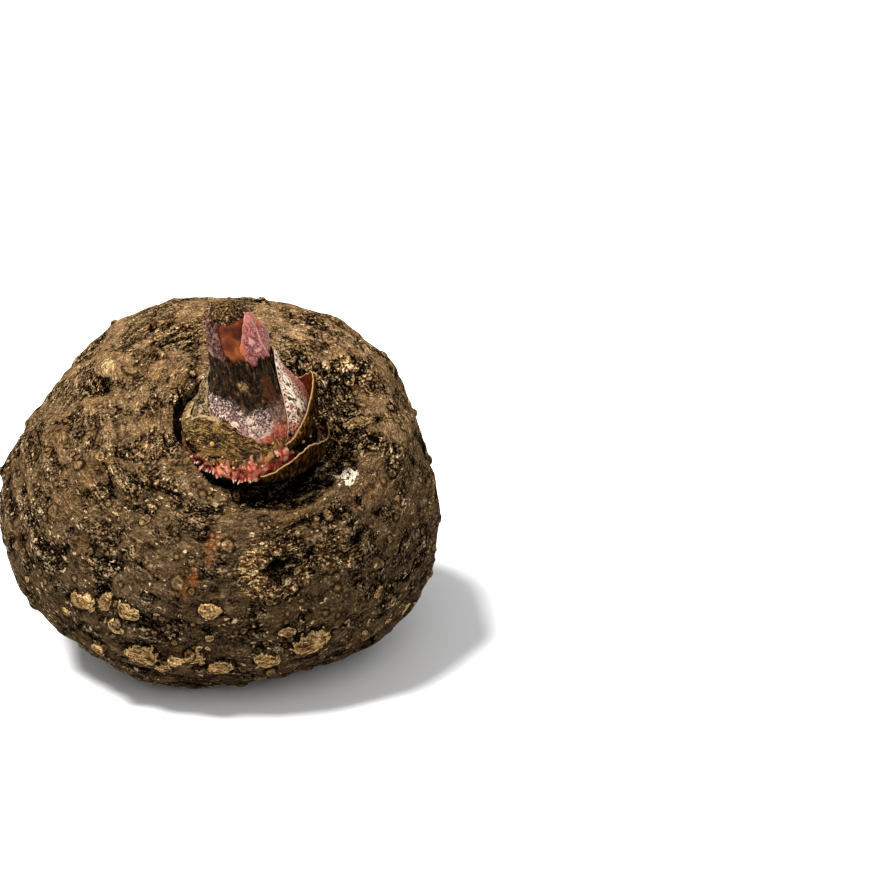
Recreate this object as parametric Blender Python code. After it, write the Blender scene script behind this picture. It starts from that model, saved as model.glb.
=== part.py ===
"""Elephant foot yam: a whole corm lying on its flank, with its sprouting shoot.

The corm is a rounded body whose radius is worked out from its direction: a broad
flattened form, a few swellings, the sunken seat of the shoot, and the scars, warts
and dry patches of the bark. The shoot stands on the seat: a pointed core, its
sheath, and torn scales in rings round it, each a closed piece of its own.
"""
import math
import random
from itertools import product

import bmesh
import bpy
import numpy as np

MM = 0.001

# Size of the corm
CORM_RADIUS = 98.5 * MM
CROWN_DEPTH = 66 * MM
ROOT_DEPTH = 70 * MM
ROUNDNESS = 2.2
CENTRE_HEIGHT = 70 * MM
SETTLE = 1.6 * MM
BODY_AXIS = (5, 63)

# Seat of the shoot: where it is, which way it faces, and the pit round it
CROWN = (26.8, 43.8)
SEAT_DEPTH = 55 * MM
SHOOT_AXIS = (11, 73)
SEAT_RADIUS = 29.5 * MM
LIP_RISE = 1.2 * MM
GAP = 0.35 * MM

# Size of the shoot
SHOOT_LENGTH = 68.5 * MM
SHOOT_LEAN = 10.5 * MM
LEAN_START = 12 * MM

# Heights of the shoot's pieces above the seat, in mm
TIP_SCALE_TOP = 66.4
TIP_SCALE_FOOT = 43
SHEATH_TOP = 47.5
SHEATH_FLAP = 13.5
SIDE_SCALE_TOP = 48
LEFT_SCALE_TOP = 34
COLLAR_TOP = 12.4
COLLAR_RISE = 9.5
CURLED_TOP = 32
CURLED_FALL = 19
FRILL_TOP = 3.6
FRILL_FLAP = 5.5
RIM_FOOT = 1
RIM_TOP = 4
RIM_RISE = 9.4

# Thickness of a dry scale, teeth of the frill, and the little root buds
DRY = 0.8 * MM
FRILL_TEETH = 19
TOOTH_LENGTH = 2.4
BUD_RADIUS = 1.1 * MM
SHEATH_BUDS = ((9.5, 17.8), (26, 15.4), (34.5, 16.2), (2, 37.8))
FRILL_BUDS = ((-48, 6.4), (-26, 6.8), (-9, 7.6), (11, 9.5), (-66, 2.8), (84, 2.8), (-110, 2.6), (140, 2.6))

# Lip of the pit: turn round the shoot in degrees, radius of its foot and of its edge in mm
LIP = (
    (-180, 32.5, 37),
    (-120, 31.8, 33.8),
    (-80, 31.8, 33.8),
    (-60, 32.2, 34.2),
    (-36, 33.4, 35.6),
    (-18, 34.4, 37.4),
    (-7, 38, 42.6),
    (0, 42, 47.2),
    (8, 45.5, 51),
    (20, 46, 53),
    (36, 43, 54),
    (55, 39, 54),
    (75, 36.5, 51),
    (100, 35, 47),
    (130, 33, 42),
    (180, 32.5, 37),
)

# Triangles left in the corm, and the levels in mm of the core's rings
CORM_TRIANGLES = 9400
CORE_LEVELS = (0.35, 14, 28, 40, 45, 49, 52, 55, 58, 60.5, 62.5, 64.5, 66.2, 67.6, 68.5)

# Swellings and hollows of the body: azimuth, elevation, rise in mm, spread in degrees
SWELLINGS = (
    (-98, 30, -6.5, 24),
    (31, -66, -12, 26),
    (-59, -47, -8, 20),
    (100, 11, -4, 16),
    (121, 47, 5, 22),
    (88, -19, 3.5, 18),
    (-161, 68, 2.5, 24),
    (72, -45, 5.5, 18),
    (-31, -64, 3.5, 18),
    (31, 50, -8.5, 34),
    (75, 50, -4, 20),
    (178, -58, 10.5, 20),
    (29, -21, 2.5, 9),
    (31, 12, 2.5, 8),
    (-9, 30, 5.5, 10),
)

# Round things on the bark: azimuth, elevation, radius and rise in mm
BUMPS = (
    (5, -1, 8, 3),
    (-41, 7, 4.5, 1.8),
    (-34, 9, 4, 1.6),
    (-28, 4, 3.5, 1.5),
    (-24, 4, 3.5, 1.5),
    (-19, 8, 4, 1.8),
    (62, -12, 5, 2),
    (-60, 20, 5, 1.6),
)
# Scars of old cormels and roots, as rings: azimuth, elevation, radius, rise and hollow in mm
RINGS = (
    (22, -1, 12.5, 2.4, 4.5),
    (40, 1, 8, 1.8, 1.6),
    (-15, 5, 4, 1.5, 1),
    (-10, 2, 3.2, 1.2, 0.8),
    (-7, -16, 3, 1.2, 0.8),
    (118, -2, 11, 2.4, 4),
    (176, 12, 9, 2, 3),
    (-128, -8, 12, 2.4, 4),
    (-152, 38, 7, 1.8, 2),
    (-84, -14, 7, 1.6, 2),
)
# Dry tan patches: azimuth, elevation, long and short radius in mm, turn in degrees
PATCHES = (
    (-33, -11, 7, 4, 10),
    (-26, -10, 5, 3, 60),
    (-19, -11, 6, 3.4, -25),
    (-23, -16, 4.5, 3, 0),
    (-17, -24, 8, 5, -5),
    (-8, -25, 4, 3, 20),
    (-3, -24, 4.5, 3.4, -10),
    (4, -29, 6, 4, 0),
    (-31, -25, 5, 3.4, 20),
    (2, -10, 4.5, 3.4, 0),
    (29, -22, 9, 5.5, 15),
    (17, -26, 6, 4, -20),
)
WART_COUNT = 130
WART_SEED = 7


def unit(vectors):
    """The vectors at length 1."""
    vectors = np.asarray(vectors, float)
    return vectors / np.linalg.norm(vectors, axis=-1, keepdims=True)


def aim(azimuth, elevation):
    """Direction from the corm's centre: azimuth 0 is the front, 90 the right."""
    turn, rise = math.radians(azimuth), math.radians(elevation)
    return np.array((math.sin(turn) * math.cos(rise), -math.cos(turn) * math.cos(rise), math.sin(rise)))


def smooth(values, start, end):
    """0 before start, 1 past end, and an S curve between."""
    share = np.clip((values - start) / (end - start), 0, 1)
    return share * share * (3 - 2 * share)


def around(theta, front, right, back, left):
    """A wave round the shoot that has the given values at its four sides."""
    mean = (front + right + back + left) / 4
    tilt = (front - back) / 2 * np.cos(theta) + (right - left) / 2 * np.sin(theta)
    return mean + tilt + (front + back - right - left) / 4 * np.cos(2 * theta)


def lattice(cells, seed):
    """A settled random number from -1 to 1 for each whole point."""
    mixed = cells[..., 0] * 73856093 ^ cells[..., 1] * 19349663 ^ cells[..., 2] * 83492791 ^ seed * 7919
    mixed = (mixed ^ mixed >> 13) * 1274126177 & 0x7FFFFFFF
    return ((mixed ^ mixed >> 15) & 0xFFFF) / 32767.5 - 1


def noise(points, seed=0):
    """Smooth random lumps from -1 to 1, about one unit across."""
    cells = np.floor(points).astype(np.int64)
    part = points - cells
    part = part * part * (3 - 2 * part)
    total = np.zeros(points.shape[:-1])
    for corner in product((0, 1), repeat=3):
        weight = np.prod(np.where(corner, part, 1 - part), axis=-1)
        total += weight * lattice(cells + corner, seed)
    return total


UP = aim(*SHOOT_AXIS)
RIGHT = unit(np.cross((0, 1, 0), UP))
FRONT = np.cross(RIGHT, UP)
SEAT = aim(*CROWN) * SEAT_DEPTH


def bell(ways, place, spread):
    """1 at a place on the corm, falling to 0 within a few spreads of it."""
    return np.exp(-2 * (1 - ways @ aim(*place)) / math.radians(spread) ** 2)


def spot(ways, place, long=1.0, short=1.0, turn=0.0):
    """Distance from a place on the bark, in the radii of an oval round it."""
    out = aim(*place)
    right = unit(np.cross((0, 0, 1), out))
    up = np.cross(out, right)
    across, along = ways @ right * CORM_RADIUS / MM, ways @ up * CORM_RADIUS / MM
    cos, sin = math.cos(math.radians(turn)), math.sin(math.radians(turn))
    far = np.where(ways @ out > 0, 0.0, 100.0)
    return np.hypot((across * cos + along * sin) / long, (along * cos - across * sin) / short) + far


def body_radius(ways):
    """Radius of the plain body: a flattened round form with its swellings."""
    along = ways @ aim(*BODY_AXIS)
    across = np.sqrt(np.clip(1 - along * along, 0, 1))
    depth = np.where(along > 0, CROWN_DEPTH, ROOT_DEPTH)
    radius = ((np.abs(along) / depth) ** ROUNDNESS + (across / CORM_RADIUS) ** ROUNDNESS) ** (-1 / ROUNDNESS)
    for azimuth, elevation, rise, spread in SWELLINGS:
        radius = radius + rise * MM * bell(ways, (azimuth, elevation), spread)
    return radius


def growth_rings(ways):
    """Low steps of the bark in rings round the crown."""
    polar = np.degrees(np.arccos(np.clip(ways @ aim(18, 58), -1, 1)))
    polar = polar + 5 * noise(ways * 2.2, 3)
    height = np.zeros(len(ways))
    for angle in (58, 76, 90, 108, 126, 142, 156):
        step = (polar - angle) / 4.5
        height += 0.9 * step * np.exp(-step * step)
    return -height * MM * (0.6 + 0.4 * noise(ways * 3, 4))


def warts(ways):
    """Root warts, scattered evenly over the bark with a jitter."""
    draw = random.Random(WART_SEED)
    height = np.zeros(len(ways))
    turn = math.pi * (3 - math.sqrt(5))
    for index in range(WART_COUNT):
        level = 1 - 2 * (index + 0.5) / WART_COUNT
        level = max(-0.99, min(0.99, level + draw.uniform(-0.05, 0.05)))
        angle = math.degrees(index * turn + draw.uniform(-0.12, 0.12))
        radius = draw.uniform(2.8, 4.8)
        far = spot(ways, (angle, math.degrees(math.asin(level))), radius, radius)
        height += draw.uniform(1.0, 2.1) * np.exp(-far * far)
    return height * MM


def bark(ways):
    """Height of everything on the bark that shows from a step away."""
    height = growth_rings(ways) + warts(ways)
    height += 1.2 * MM * noise(ways * 4.3, 1) + 1.3 * MM * noise(ways * 9, 2)
    for azimuth, elevation, radius, rise in BUMPS:
        height += rise * MM * np.exp(-spot(ways, (azimuth, elevation), radius, radius * 0.85) ** 2)
    for azimuth, elevation, radius, rise, hollow in RINGS:
        far = spot(ways, (azimuth, elevation), radius, radius * 0.8)
        far = far + 0.25 * min(1, radius / 10) * noise(ways * 24, 5) * smooth(far, 0.1, 0.5)
        height += rise * MM * np.exp(-((far - 0.85) / 0.27) ** 2)
        height -= hollow * MM * np.exp(-(far / 0.48) ** 2)
    for azimuth, elevation, long, short, turn in PATCHES:
        height += 1.3 * MM * (1 - smooth(spot(ways, (azimuth, elevation), long, short, turn), 0.7, 1.15))
    return height + stem_knob(ways)


def stem_knob(ways):
    """The streaked knob at the upper left, with the dark hollow under it."""
    height = 5 * MM * np.exp(-spot(ways, (-74, 54), 10, 5, 25) ** 2)
    return height - 3.5 * MM * np.exp(-spot(ways, (-68, 45), 6, 4, 10) ** 2)


def ridge(ways):
    """The raised fold that runs round the right of the shoot's pit."""
    path = [aim(*place) for place in ((140, 74), (109, 68), (103, 52), (96, 38), (84, 25), (70, 17))]
    far = np.full(len(ways), 1.0)
    for start, end in zip(path, path[1:]):
        run = end - start
        share = np.clip((ways - start) @ run / (run @ run), 0, 1)
        far = np.minimum(far, np.linalg.norm(ways - start - share[:, None] * run, axis=1))
    return 4 * MM * np.exp(-(far / 0.065) ** 2)


def seat_view(ways):
    """Where the rays from the centre cross the seat's plane: radius, distance, turn."""
    facing = np.clip(ways @ UP, 0.12, None)
    reach = SEAT @ UP / facing
    across = ways * reach[:, None] - SEAT
    right, front = across @ RIGHT, across @ FRONT
    return reach, np.hypot(right, front), np.arctan2(right, front)


def lip_radii(theta):
    """Radius of the pit's wall at its foot and at its edge."""
    angles, feet, edges = np.array(LIP, float).T
    turn = np.degrees(theta)
    return np.interp(turn, angles, feet) * MM, np.interp(turn, angles, edges) * MM


def corm_points(ways):
    """Points of the corm's surface, one for each direction from its centre."""
    reach, far, theta = seat_view(ways)
    facing = smooth(ways @ UP, 0.12, 0.3)
    bowl_edge = around(theta, 50, 62, 54, 42) * MM
    bowl = around(theta, 1.0, 8.5, 5.5, 0.5) * MM * (1 - smooth(far, bowl_edge * 0.7, bowl_edge)) * facing
    skin = body_radius(ways) + ridge(ways) - bowl
    skin = skin + bark(ways) * (1 - facing + facing * smooth(far, 36 * MM, 46 * MM))
    foot, edge = lip_radii(theta)
    skin = skin + LIP_RISE * np.exp(-((far - edge - 2 * MM) / (3.2 * MM)) ** 2) * window(theta, -20, 60, 30)
    crevice = around(theta, 14, 8, 3, 5) * MM * smooth(far, SEAT_RADIUS, SEAT_RADIUS + 2.5 * MM)
    crevice = crevice * (1 - 0.15 * smooth(far, 35 * MM, 40 * MM))
    wall = np.where(facing > 0, smooth(far, foot, edge), 1.0)
    radius = reach - crevice
    radius = radius + (skin - radius) * wall
    points = ways * radius[:, None]
    points = draw_walls_in(points, far, facing)
    points[:, 2] = settle(points[:, 2] + CENTRE_HEIGHT)
    return points


def settle(height):
    """Heights pressed on to the floor, with a soft edge round the flat spot."""
    soft = np.clip(height + SETTLE, 0, 2 * SETTLE)
    return np.where(height > SETTLE, height, soft * soft / (4 * SETTLE))


def draw_walls_in(points, far, facing):
    """Stand the pit's walls upright, where they would lean out along the rays."""
    local = points - SEAT
    height = local @ UP
    flat = local - height[:, None] * UP
    distance = np.linalg.norm(flat, axis=1)
    pull = (1 - smooth(far, 37 * MM, 66 * MM)) * smooth(height, -2 * MM, 2 * MM) * facing
    wanted = distance + (far - distance) * pull
    return points + flat * (wanted / np.maximum(distance, MM) - 1)[:, None]


def lean(height):
    """How far the shoot's middle line has bent to the left at a height."""
    share = np.clip((height - LEAN_START) / (SHOOT_LENGTH - LEAN_START), 0, 1)
    return -SHOOT_LEAN * share ** 1.5


def on_shoot(radius, theta, height):
    """World points from radius and turn round the shoot's middle line."""
    right = radius * np.sin(theta) + lean(height)
    front = radius * np.cos(theta)
    flat = right[..., None] * RIGHT + front[..., None] * FRONT + height[..., None] * UP
    return SEAT + flat + np.array((0, 0, CENTRE_HEIGHT))


def curve(height, knots):
    """A smooth line through pairs of height and radius, both in mm."""
    heights, radii = np.array(knots, float).T * MM
    slopes = np.gradient(radii, heights)
    index = np.clip(np.searchsorted(heights, height) - 1, 0, len(heights) - 2)
    step = heights[index + 1] - heights[index]
    share = np.clip((height - heights[index]) / step, 0, 1)
    cube, square = share ** 3, share ** 2
    start = (2 * cube - 3 * square + 1) * radii[index] + (cube - 2 * square + share) * step * slopes[index]
    end = (3 * square - 2 * cube) * radii[index + 1] + (cube - square) * step * slopes[index + 1]
    return start + end


def window(theta, start, end, edge=14):
    """1 between two turns in degrees, falling to 0 within the edge outside them."""
    middle, half = (start + end) / 2, (end - start) / 2
    off = np.abs((np.degrees(theta) - middle + 180) % 360 - 180)
    return 1 - smooth(off, half, half + edge)


# Outlines of the shoot's parts: height above the seat and radius, in mm
CORE = ((0, 6), (15, 7.5), (30, 9.5), (42, 10.6), (50, 11.2), (57, 10.6), (62, 9.0), (66, 7.2), (68.5, 3.6))
BULB = (
    (0, 19.3), (4, 21.2), (10, 22.3), (16, 21.8), (24, 19.0),
    (32, 16.2), (40, 14.4), (48, 13.6), (56, 12.6), (62, 11.4),
)
SIDE = ((0, 21), (6, 24), (14, 26), (21, 25), (30, 20.8), (38, 17.2), (46, 15.6), (56, 15.2))
LEFT = ((0, 21), (5, 24.8), (12, 26.0), (21, 24.0), (28, 20.6), (34, 18.2), (40, 16.6))
COLLAR = ((0, 23.2), (2, 26.2), (5, 28.0), (9, 27.2), (14, 25.6), (20, 24.6), (30, 22))
COLLAR_LEFT = ((0, 23.2), (2, 26.6), (6, 30.2), (10, 29.8), (15, 28.4), (22, 26.4), (30, 24))


def core_radius(theta, height):
    """The pointed core, a little lumpy."""
    lump = 0.35 * MM * np.sin(3 * theta + height / MM * 0.2)
    lump = lump * smooth(height, 40 * MM, 50 * MM) * (1 - smooth(height, 60 * MM, 67 * MM))
    return curve(height, CORE) + lump


def sheath_radius(theta, height):
    """Outside of the sheath: the bulb and the neck."""
    return curve(height, BULB) + 0.3 * MM * np.sin(5 * theta + 1)


def second_radius(theta, height):
    """Outside of the ring of the left and right scales, and of the sheath between them."""
    base = sheath_radius(theta, height)
    thin = GAP + 1.3 * MM
    right = np.maximum((curve(height, SIDE) - base) * window(theta, 58, 160), thin)
    left = np.maximum((curve(height, LEFT) - base) * window(theta, -162, -62), thin)
    return base + right * window(theta, 42, 174, 7) + left * window(theta, -176, -46, 7)


def collar_radius(theta, height):
    """Outside of the fibrous collar, which flares most at the left."""
    share = window(theta, -150, -60, 40)
    plain = curve(height, COLLAR) * (1 - share) + curve(height, COLLAR_LEFT) * share
    return np.maximum(plain, second_radius(theta, height) + 1.2 * MM)


def tip_scale_shape():
    """The pink inner scale that wraps the right of the core's tip."""
    def limits(theta):
        middle = np.abs(np.degrees(theta) - 70) / 68
        top = TIP_SCALE_TOP - 7.5 * middle ** 1.6 - 13 * middle ** 4
        return (TIP_SCALE_FOOT + 7 * middle ** 2) * MM, top * MM

    def inner(theta, height, share):
        return core_radius(theta, height) + GAP

    def outer(theta, height, share):
        swell = smooth(height, 49 * MM, 56 * MM) * (1 - smooth(share, 0.6, 1))
        swell = swell * (1 - ((np.degrees(theta) - 70) / 68) ** 2)
        return inner(theta, height, share) + (0.7 + 1.8 * swell) * MM

    return limits, inner, outer


def sheath_shape():
    """The sheath: pale bulb, dark neck with a ragged edge, and a tall flap at the left."""
    def limits(theta):
        ragged = SHEATH_TOP + 1.6 * np.sin(9 * theta) + 1.3 * np.sin(17 * theta + 1) + 2 * np.cos(theta + 1)
        flap = SHEATH_FLAP * window(theta, -108, -38, 17)
        return np.full_like(theta, GAP), (ragged + flap) * MM

    def inner(theta, height, share):
        scale = 1.3 * MM * window(theta, -2, 142, 10) * smooth(height, 36 * MM, 41 * MM)
        return core_radius(theta, height) + GAP + scale

    def outer(theta, height, share):
        edge = smooth(share, 0.9, 1) * 0.5 * MM
        return np.maximum(sheath_radius(theta, height) - edge, inner(theta, height, share) + 0.7 * MM)

    return limits, inner, outer


def side_scale_shape():
    """The pale speckled scale at the right, with its pointed top."""
    def limits(theta):
        turn = np.degrees(theta)
        front = SIDE_SCALE_TOP - 36 * (1 - smooth(turn, 42, 84) ** 0.8)
        back = SIDE_SCALE_TOP - 30 * smooth(turn, 84, 172)
        return np.full_like(theta, GAP), np.where(turn < 84, front, back) * MM

    def inner(theta, height, share):
        room = second_radius(theta, height) - sheath_radius(theta, height) - GAP
        stand = 0.5 * np.maximum(room - 1.2 * MM, 0) * np.sin(np.pi * share)
        return sheath_radius(theta, height) + GAP + stand

    def outer(theta, height, share):
        edge = smooth(share, 0.55, 1)
        full = second_radius(theta, height) * (1 - edge) + (inner(theta, height, share) + DRY) * edge
        return np.minimum(full, second_radius(theta, height))

    return limits, inner, outer


def left_scale_shape():
    """The torn olive scale at the left and behind."""
    def limits(theta):
        turn = np.degrees(theta)
        top = LEFT_SCALE_TOP - 20 * smooth(-turn, 110, 176) - 14 * smooth(turn, -80, -46)
        return np.full_like(theta, GAP), (top + 1.4 * np.sin(turn * 0.35) + 1.2 * np.sin(turn * 0.9)) * MM

    def inner(theta, height, share):
        return sheath_radius(theta, height) + GAP

    def outer(theta, height, share):
        knobbly = 0.5 + 0.5 * np.sin(height / MM * 0.9) * np.sin(theta * 11)
        room = second_radius(theta, height) - inner(theta, height, share) - DRY
        edge = 1 - 0.8 * smooth(share, 0.7, 1)
        return inner(theta, height, share) + DRY + room * (1 - 0.3 * knobbly) * edge

    return limits, inner, outer


def collar_shape():
    """The fibrous collar round the front, left and back."""
    def limits(theta):
        turn = np.degrees(theta)
        top = COLLAR_TOP + COLLAR_RISE * (1 - smooth(turn, -32, 34)) * (1 - smooth(-turn, 46, 92))
        return np.full_like(theta, GAP), (top + 0.5 * np.sin(turn * 0.4)) * MM

    def inner(theta, height, share):
        return second_radius(theta, height) + GAP

    def outer(theta, height, share):
        edge = smooth(share, 0.75, 1)
        full = collar_radius(theta, height)
        full = full * (1 - edge) + (inner(theta, height, share) + DRY) * edge
        return np.maximum(full, inner(theta, height, share) + DRY)

    return limits, inner, outer


def curled_inner(theta, height):
    """Inside of the curled scale, which stands away from the bulb."""
    stand = 23 * MM + 4.6 * MM * smooth(height, 0, 16 * MM)
    return np.maximum(second_radius(theta, height) + GAP, stand)


def curled_scale_shape():
    """The papery scale at the right that curls away from the bulb."""
    def limits(theta):
        turn = np.degrees(theta)
        rise = CURLED_TOP - CURLED_FALL * (1 - smooth(turn, 22, 92)) - 14 * smooth(turn, 102, 144)
        return np.full_like(theta, GAP), rise * MM

    def inner(theta, height, share):
        return curled_inner(theta, height)

    def outer(theta, height, share):
        return inner(theta, height, share) + (1.4 - 0.5 * share) * MM

    return limits, inner, outer


def frill_teeth(theta):
    """Teeth along the front of the frill, from 0 between them to 1 at their points."""
    teeth = np.abs(np.sin(theta * FRILL_TEETH + 1.7 * np.sin(theta * 7)))
    return teeth * (0.65 + 0.35 * np.sin(theta * 13 + 2)) * window(theta, -54, 8, 12)


def frill_shape():
    """The salmon ring with its teeth hanging over the crevice."""
    def limits(theta):
        turn = np.degrees(theta)
        front = smooth(turn, -62, -40) + 1.1 * smooth(turn, -24, 22)
        top = FRILL_TOP + 4.2 * front * (1 - smooth(turn, 40, 58)) + 0.5 * np.sin(theta * 16)
        top = top + FRILL_FLAP * np.exp(-((turn - 30) / 5) ** 2)
        return np.full_like(theta, GAP), top * MM

    def inner(theta, height, share):
        level = np.maximum(height, 3.5 * MM)
        curled = (curled_inner(theta, level) + 1.4 * MM) * window(theta, 30, 148, 6)
        return np.maximum(collar_radius(theta, level), curled) + GAP + 0.3 * MM

    def outer(theta, height, share):
        base = inner(theta, height, share) + 1.0 * MM
        crest = (29.4 + 0.5 * np.sin(theta * 16) + TOOTH_LENGTH * frill_teeth(theta) * (1 - share)) * MM
        tucked = 2.6 * MM * (1 - smooth(share, 0, 0.5)) * (1 - window(theta, -54, 8, 12))
        return np.maximum(base, crest - tucked)

    return limits, inner, outer


def right_rim_shape():
    """The thin dry scale outside the frill at the right."""
    def limits(theta):
        turn = np.degrees(theta)
        top = RIM_TOP + RIM_RISE * np.exp(-((turn - 52) / 26) ** 2)
        return np.full_like(theta, RIM_FOOT * MM), top * MM

    def inner(theta, height, share):
        return (32 + 0.9 * share) * MM

    def outer(theta, height, share):
        return inner(theta, height, share) + 0.7 * MM

    return limits, inner, outer


# Turns in degrees between which each scale stands
SPANS = {
    "tip_scale": (14, 134),
    "sheath": (-180, 180),
    "side_scale": (42, 174),
    "left_scale": (-176, -46),
    "outer_collar": (-214, 33),
    "curled_scale": (35, 143),
    "right_rim": (12, 108),
}


def turns(start, end, count, closed=False):
    """Evenly spaced turns round the shoot, from degrees."""
    return np.radians(np.linspace(start, end, count, endpoint=not closed))


def skin_piece(name, look, theta, rows, limits, inner, outer, closed=False):
    """A closed shell round the shoot between two radii, from a low to a high edge."""
    share = np.linspace(0, 1, rows)
    turn, up = np.meshgrid(theta, share, indexing="ij")
    low, high = limits(turn)
    height = low + (high - low) * up
    outside = on_shoot(outer(turn, height, up), turn, height)
    inside = on_shoot(inner(turn, height, up), turn, height)
    loops = np.concatenate((outside, inside[:, ::-1]), axis=1)
    return piece_from_loops(name, look, loops, closed)


def piece_from_loops(name, look, loops, closed):
    """A mesh object through loops of points, joined end to end or capped."""
    columns, around_count = loops.shape[:2]
    mesh = bmesh.new()
    rings = [[mesh.verts.new(point) for point in loop] for loop in loops]
    pairs = list(zip(rings, rings[1:]))
    if closed:
        pairs.append((rings[-1], rings[0]))
    for first, second in pairs:
        for index in range(around_count):
            after = (index + 1) % around_count
            mesh.faces.new((first[index], second[index], second[after], first[after]))
    if not closed:
        cap_ends(mesh, rings)
    return finish(name, look, mesh)


def cap_ends(mesh, rings):
    """Close the two ends of a shell with strips from its outside to its inside."""
    for ring, flip in ((rings[0], False), (rings[-1], True)):
        count = len(ring)
        for index in range(count // 2 - 1):
            corners = [ring[index], ring[index + 1], ring[count - 2 - index], ring[count - 1 - index]]
            mesh.faces.new(corners[::-1] if flip else corners)


def finish(name, look, mesh):
    """Turn a bmesh into a named, shaded object with its faces outwards."""
    bmesh.ops.recalc_face_normals(mesh, faces=mesh.faces)
    bmesh.ops.triangulate(mesh, faces=mesh.faces)
    data = bpy.data.meshes.new(name)
    mesh.to_mesh(data)
    mesh.free()
    data.materials.append(look)
    data.shade_smooth()
    data.set_sharp_from_angle(angle=math.radians(40))
    thing = bpy.data.objects.new(name, data)
    bpy.context.scene.collection.objects.link(thing)
    return thing


def material(name, colour, roughness):
    """A plain finish in the piece's own colour."""
    look = bpy.data.materials.new(name)
    look.use_nodes = True
    shader = look.node_tree.nodes["Principled BSDF"]
    shader.inputs["Base Color"].default_value = (*colour, 1)
    shader.inputs["Roughness"].default_value = roughness
    shader.inputs["Metallic"].default_value = 0
    return look


def add_knobs(host, knobs, surface):
    """Fuse little root buds to a piece, sunk well into it."""
    group = bpy.data.collections.new(host.name + "_knobs")
    bpy.context.scene.collection.children.link(group)
    for turn, height in knobs:
        theta, level = np.radians(turn), np.float64(height * MM)
        centre = on_shoot(surface(theta, level) - 0.2 * MM, theta, level)
        mesh = bmesh.new()
        bmesh.ops.create_icosphere(mesh, subdivisions=1, radius=BUD_RADIUS)
        bmesh.ops.translate(mesh, verts=mesh.verts, vec=centre)
        data = bpy.data.meshes.new("knob")
        mesh.to_mesh(data)
        mesh.free()
        group.objects.link(bpy.data.objects.new("knob", data))
    fuse(host, group)


def fuse(host, group):
    """Join a collection's objects to the host and remove them."""
    union = host.modifiers.new("fuse", "BOOLEAN")
    union.operation = "UNION"
    union.operand_type = "COLLECTION"
    union.collection = group
    apply_modifiers(host)
    for thing in list(group.objects):
        bpy.data.objects.remove(thing)
    bpy.data.collections.remove(group)


def apply_modifiers(thing):
    """Keep the shape that the modifiers make, and drop them."""
    shaped = thing.evaluated_get(bpy.context.evaluated_depsgraph_get())
    data = bpy.data.meshes.new_from_object(shaped)
    thing.modifiers.clear()
    thing.data = data


def build_corm():
    """The corm: a fine sphere drawn to its shape, then thinned where it is plain."""
    mesh = bmesh.new()
    bmesh.ops.create_icosphere(mesh, subdivisions=7, radius=1)
    mesh.verts.ensure_lookup_table()
    ways = unit([vert.co for vert in mesh.verts])
    for vert, point in zip(mesh.verts, corm_points(ways)):
        vert.co = point
    corm = finish("corm", material("bark", (0.105, 0.068, 0.038), 0.9), mesh)
    thin = corm.modifiers.new("thin", "DECIMATE")
    thin.ratio = CORM_TRIANGLES / len(corm.data.polygons)
    apply_modifiers(corm)
    for vert in corm.data.vertices:
        if vert.co.z < 0.3 * MM:
            vert.co.z = 0
    return corm


def build_shoot():
    """Every piece of the shoot, from the core outwards."""
    pink = material("pink_bud", (0.45, 0.18, 0.17), 0.45)
    brown = material("dry_tip", (0.33, 0.13, 0.06), 0.5)
    sheath = material("sheath", (0.40, 0.27, 0.26), 0.6)
    speckled = material("speckled_scale", (0.48, 0.36, 0.34), 0.6)
    olive = material("olive_scale", (0.20, 0.15, 0.09), 0.75)
    papery = material("papery_scale", (0.42, 0.28, 0.16), 0.6)
    frill = material("salmon_frill", (0.58, 0.20, 0.14), 0.5)
    build_core(brown)
    build_scale("tip_scale", pink, 14, 9, tip_scale_shape())
    build_sheath(sheath)
    build_scale("side_scale", speckled, 17, 10, side_scale_shape())
    build_scale("left_scale", olive, 17, 9, left_scale_shape())
    build_scale("outer_collar", olive, 38, 7, collar_shape())
    build_scale("curled_scale", papery, 15, 8, curled_scale_shape())
    build_frill(frill)
    build_scale("right_rim", papery, 16, 4, right_rim_shape())


def build_core(look):
    """The pointed core, solid from the seat to the blunt dry tip."""
    theta = np.linspace(0, 2 * np.pi, 24, endpoint=False)
    mesh = bmesh.new()
    rings = []
    for level in np.array(CORE_LEVELS) * MM:
        height = np.full(len(theta), level)
        tip = smooth(height, 65.5 * MM, 67.5 * MM)
        radius = core_radius(theta, height) + 0.6 * MM * tip * np.sin(7 * theta + level / MM)
        rings.append([mesh.verts.new(point) for point in on_shoot(radius, theta, height)])
    for low, high in zip(rings, rings[1:]):
        for index in range(len(theta)):
            after = (index + 1) % len(theta)
            mesh.faces.new((low[index], low[after], high[after], high[index]))
    mesh.faces.new(rings[0])
    mesh.faces.new(rings[-1])
    finish("shoot_core", look, mesh)


def build_scale(name, look, columns, rows, shape, closed=False):
    """One scale of the shoot, between the turns that it spans."""
    return skin_piece(name, look, turns(*SPANS[name], columns, closed), rows, *shape, closed=closed)


def build_sheath(look):
    """The sheath, with the root buds that show on it."""
    sheath = build_scale("sheath", look, 34, 12, sheath_shape(), closed=True)
    add_knobs(sheath, SHEATH_BUDS, sheath_radius)


def build_frill(look):
    """The frill, finer where its teeth are, with its root buds."""
    limits, inner, outer = frill_shape()
    theta = np.concatenate((turns(-76, 40, 66, True), turns(40, 284, 36, True)))
    frill = skin_piece("frill", look, theta, 5, limits, inner, outer, closed=True)
    add_knobs(frill, FRILL_BUDS, lambda theta, height: outer(theta, height, 0.9) + 0.5 * MM)


def main():
    for thing in list(bpy.data.objects):
        bpy.data.objects.remove(thing)
    build_corm()
    build_shoot()


main()
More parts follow.
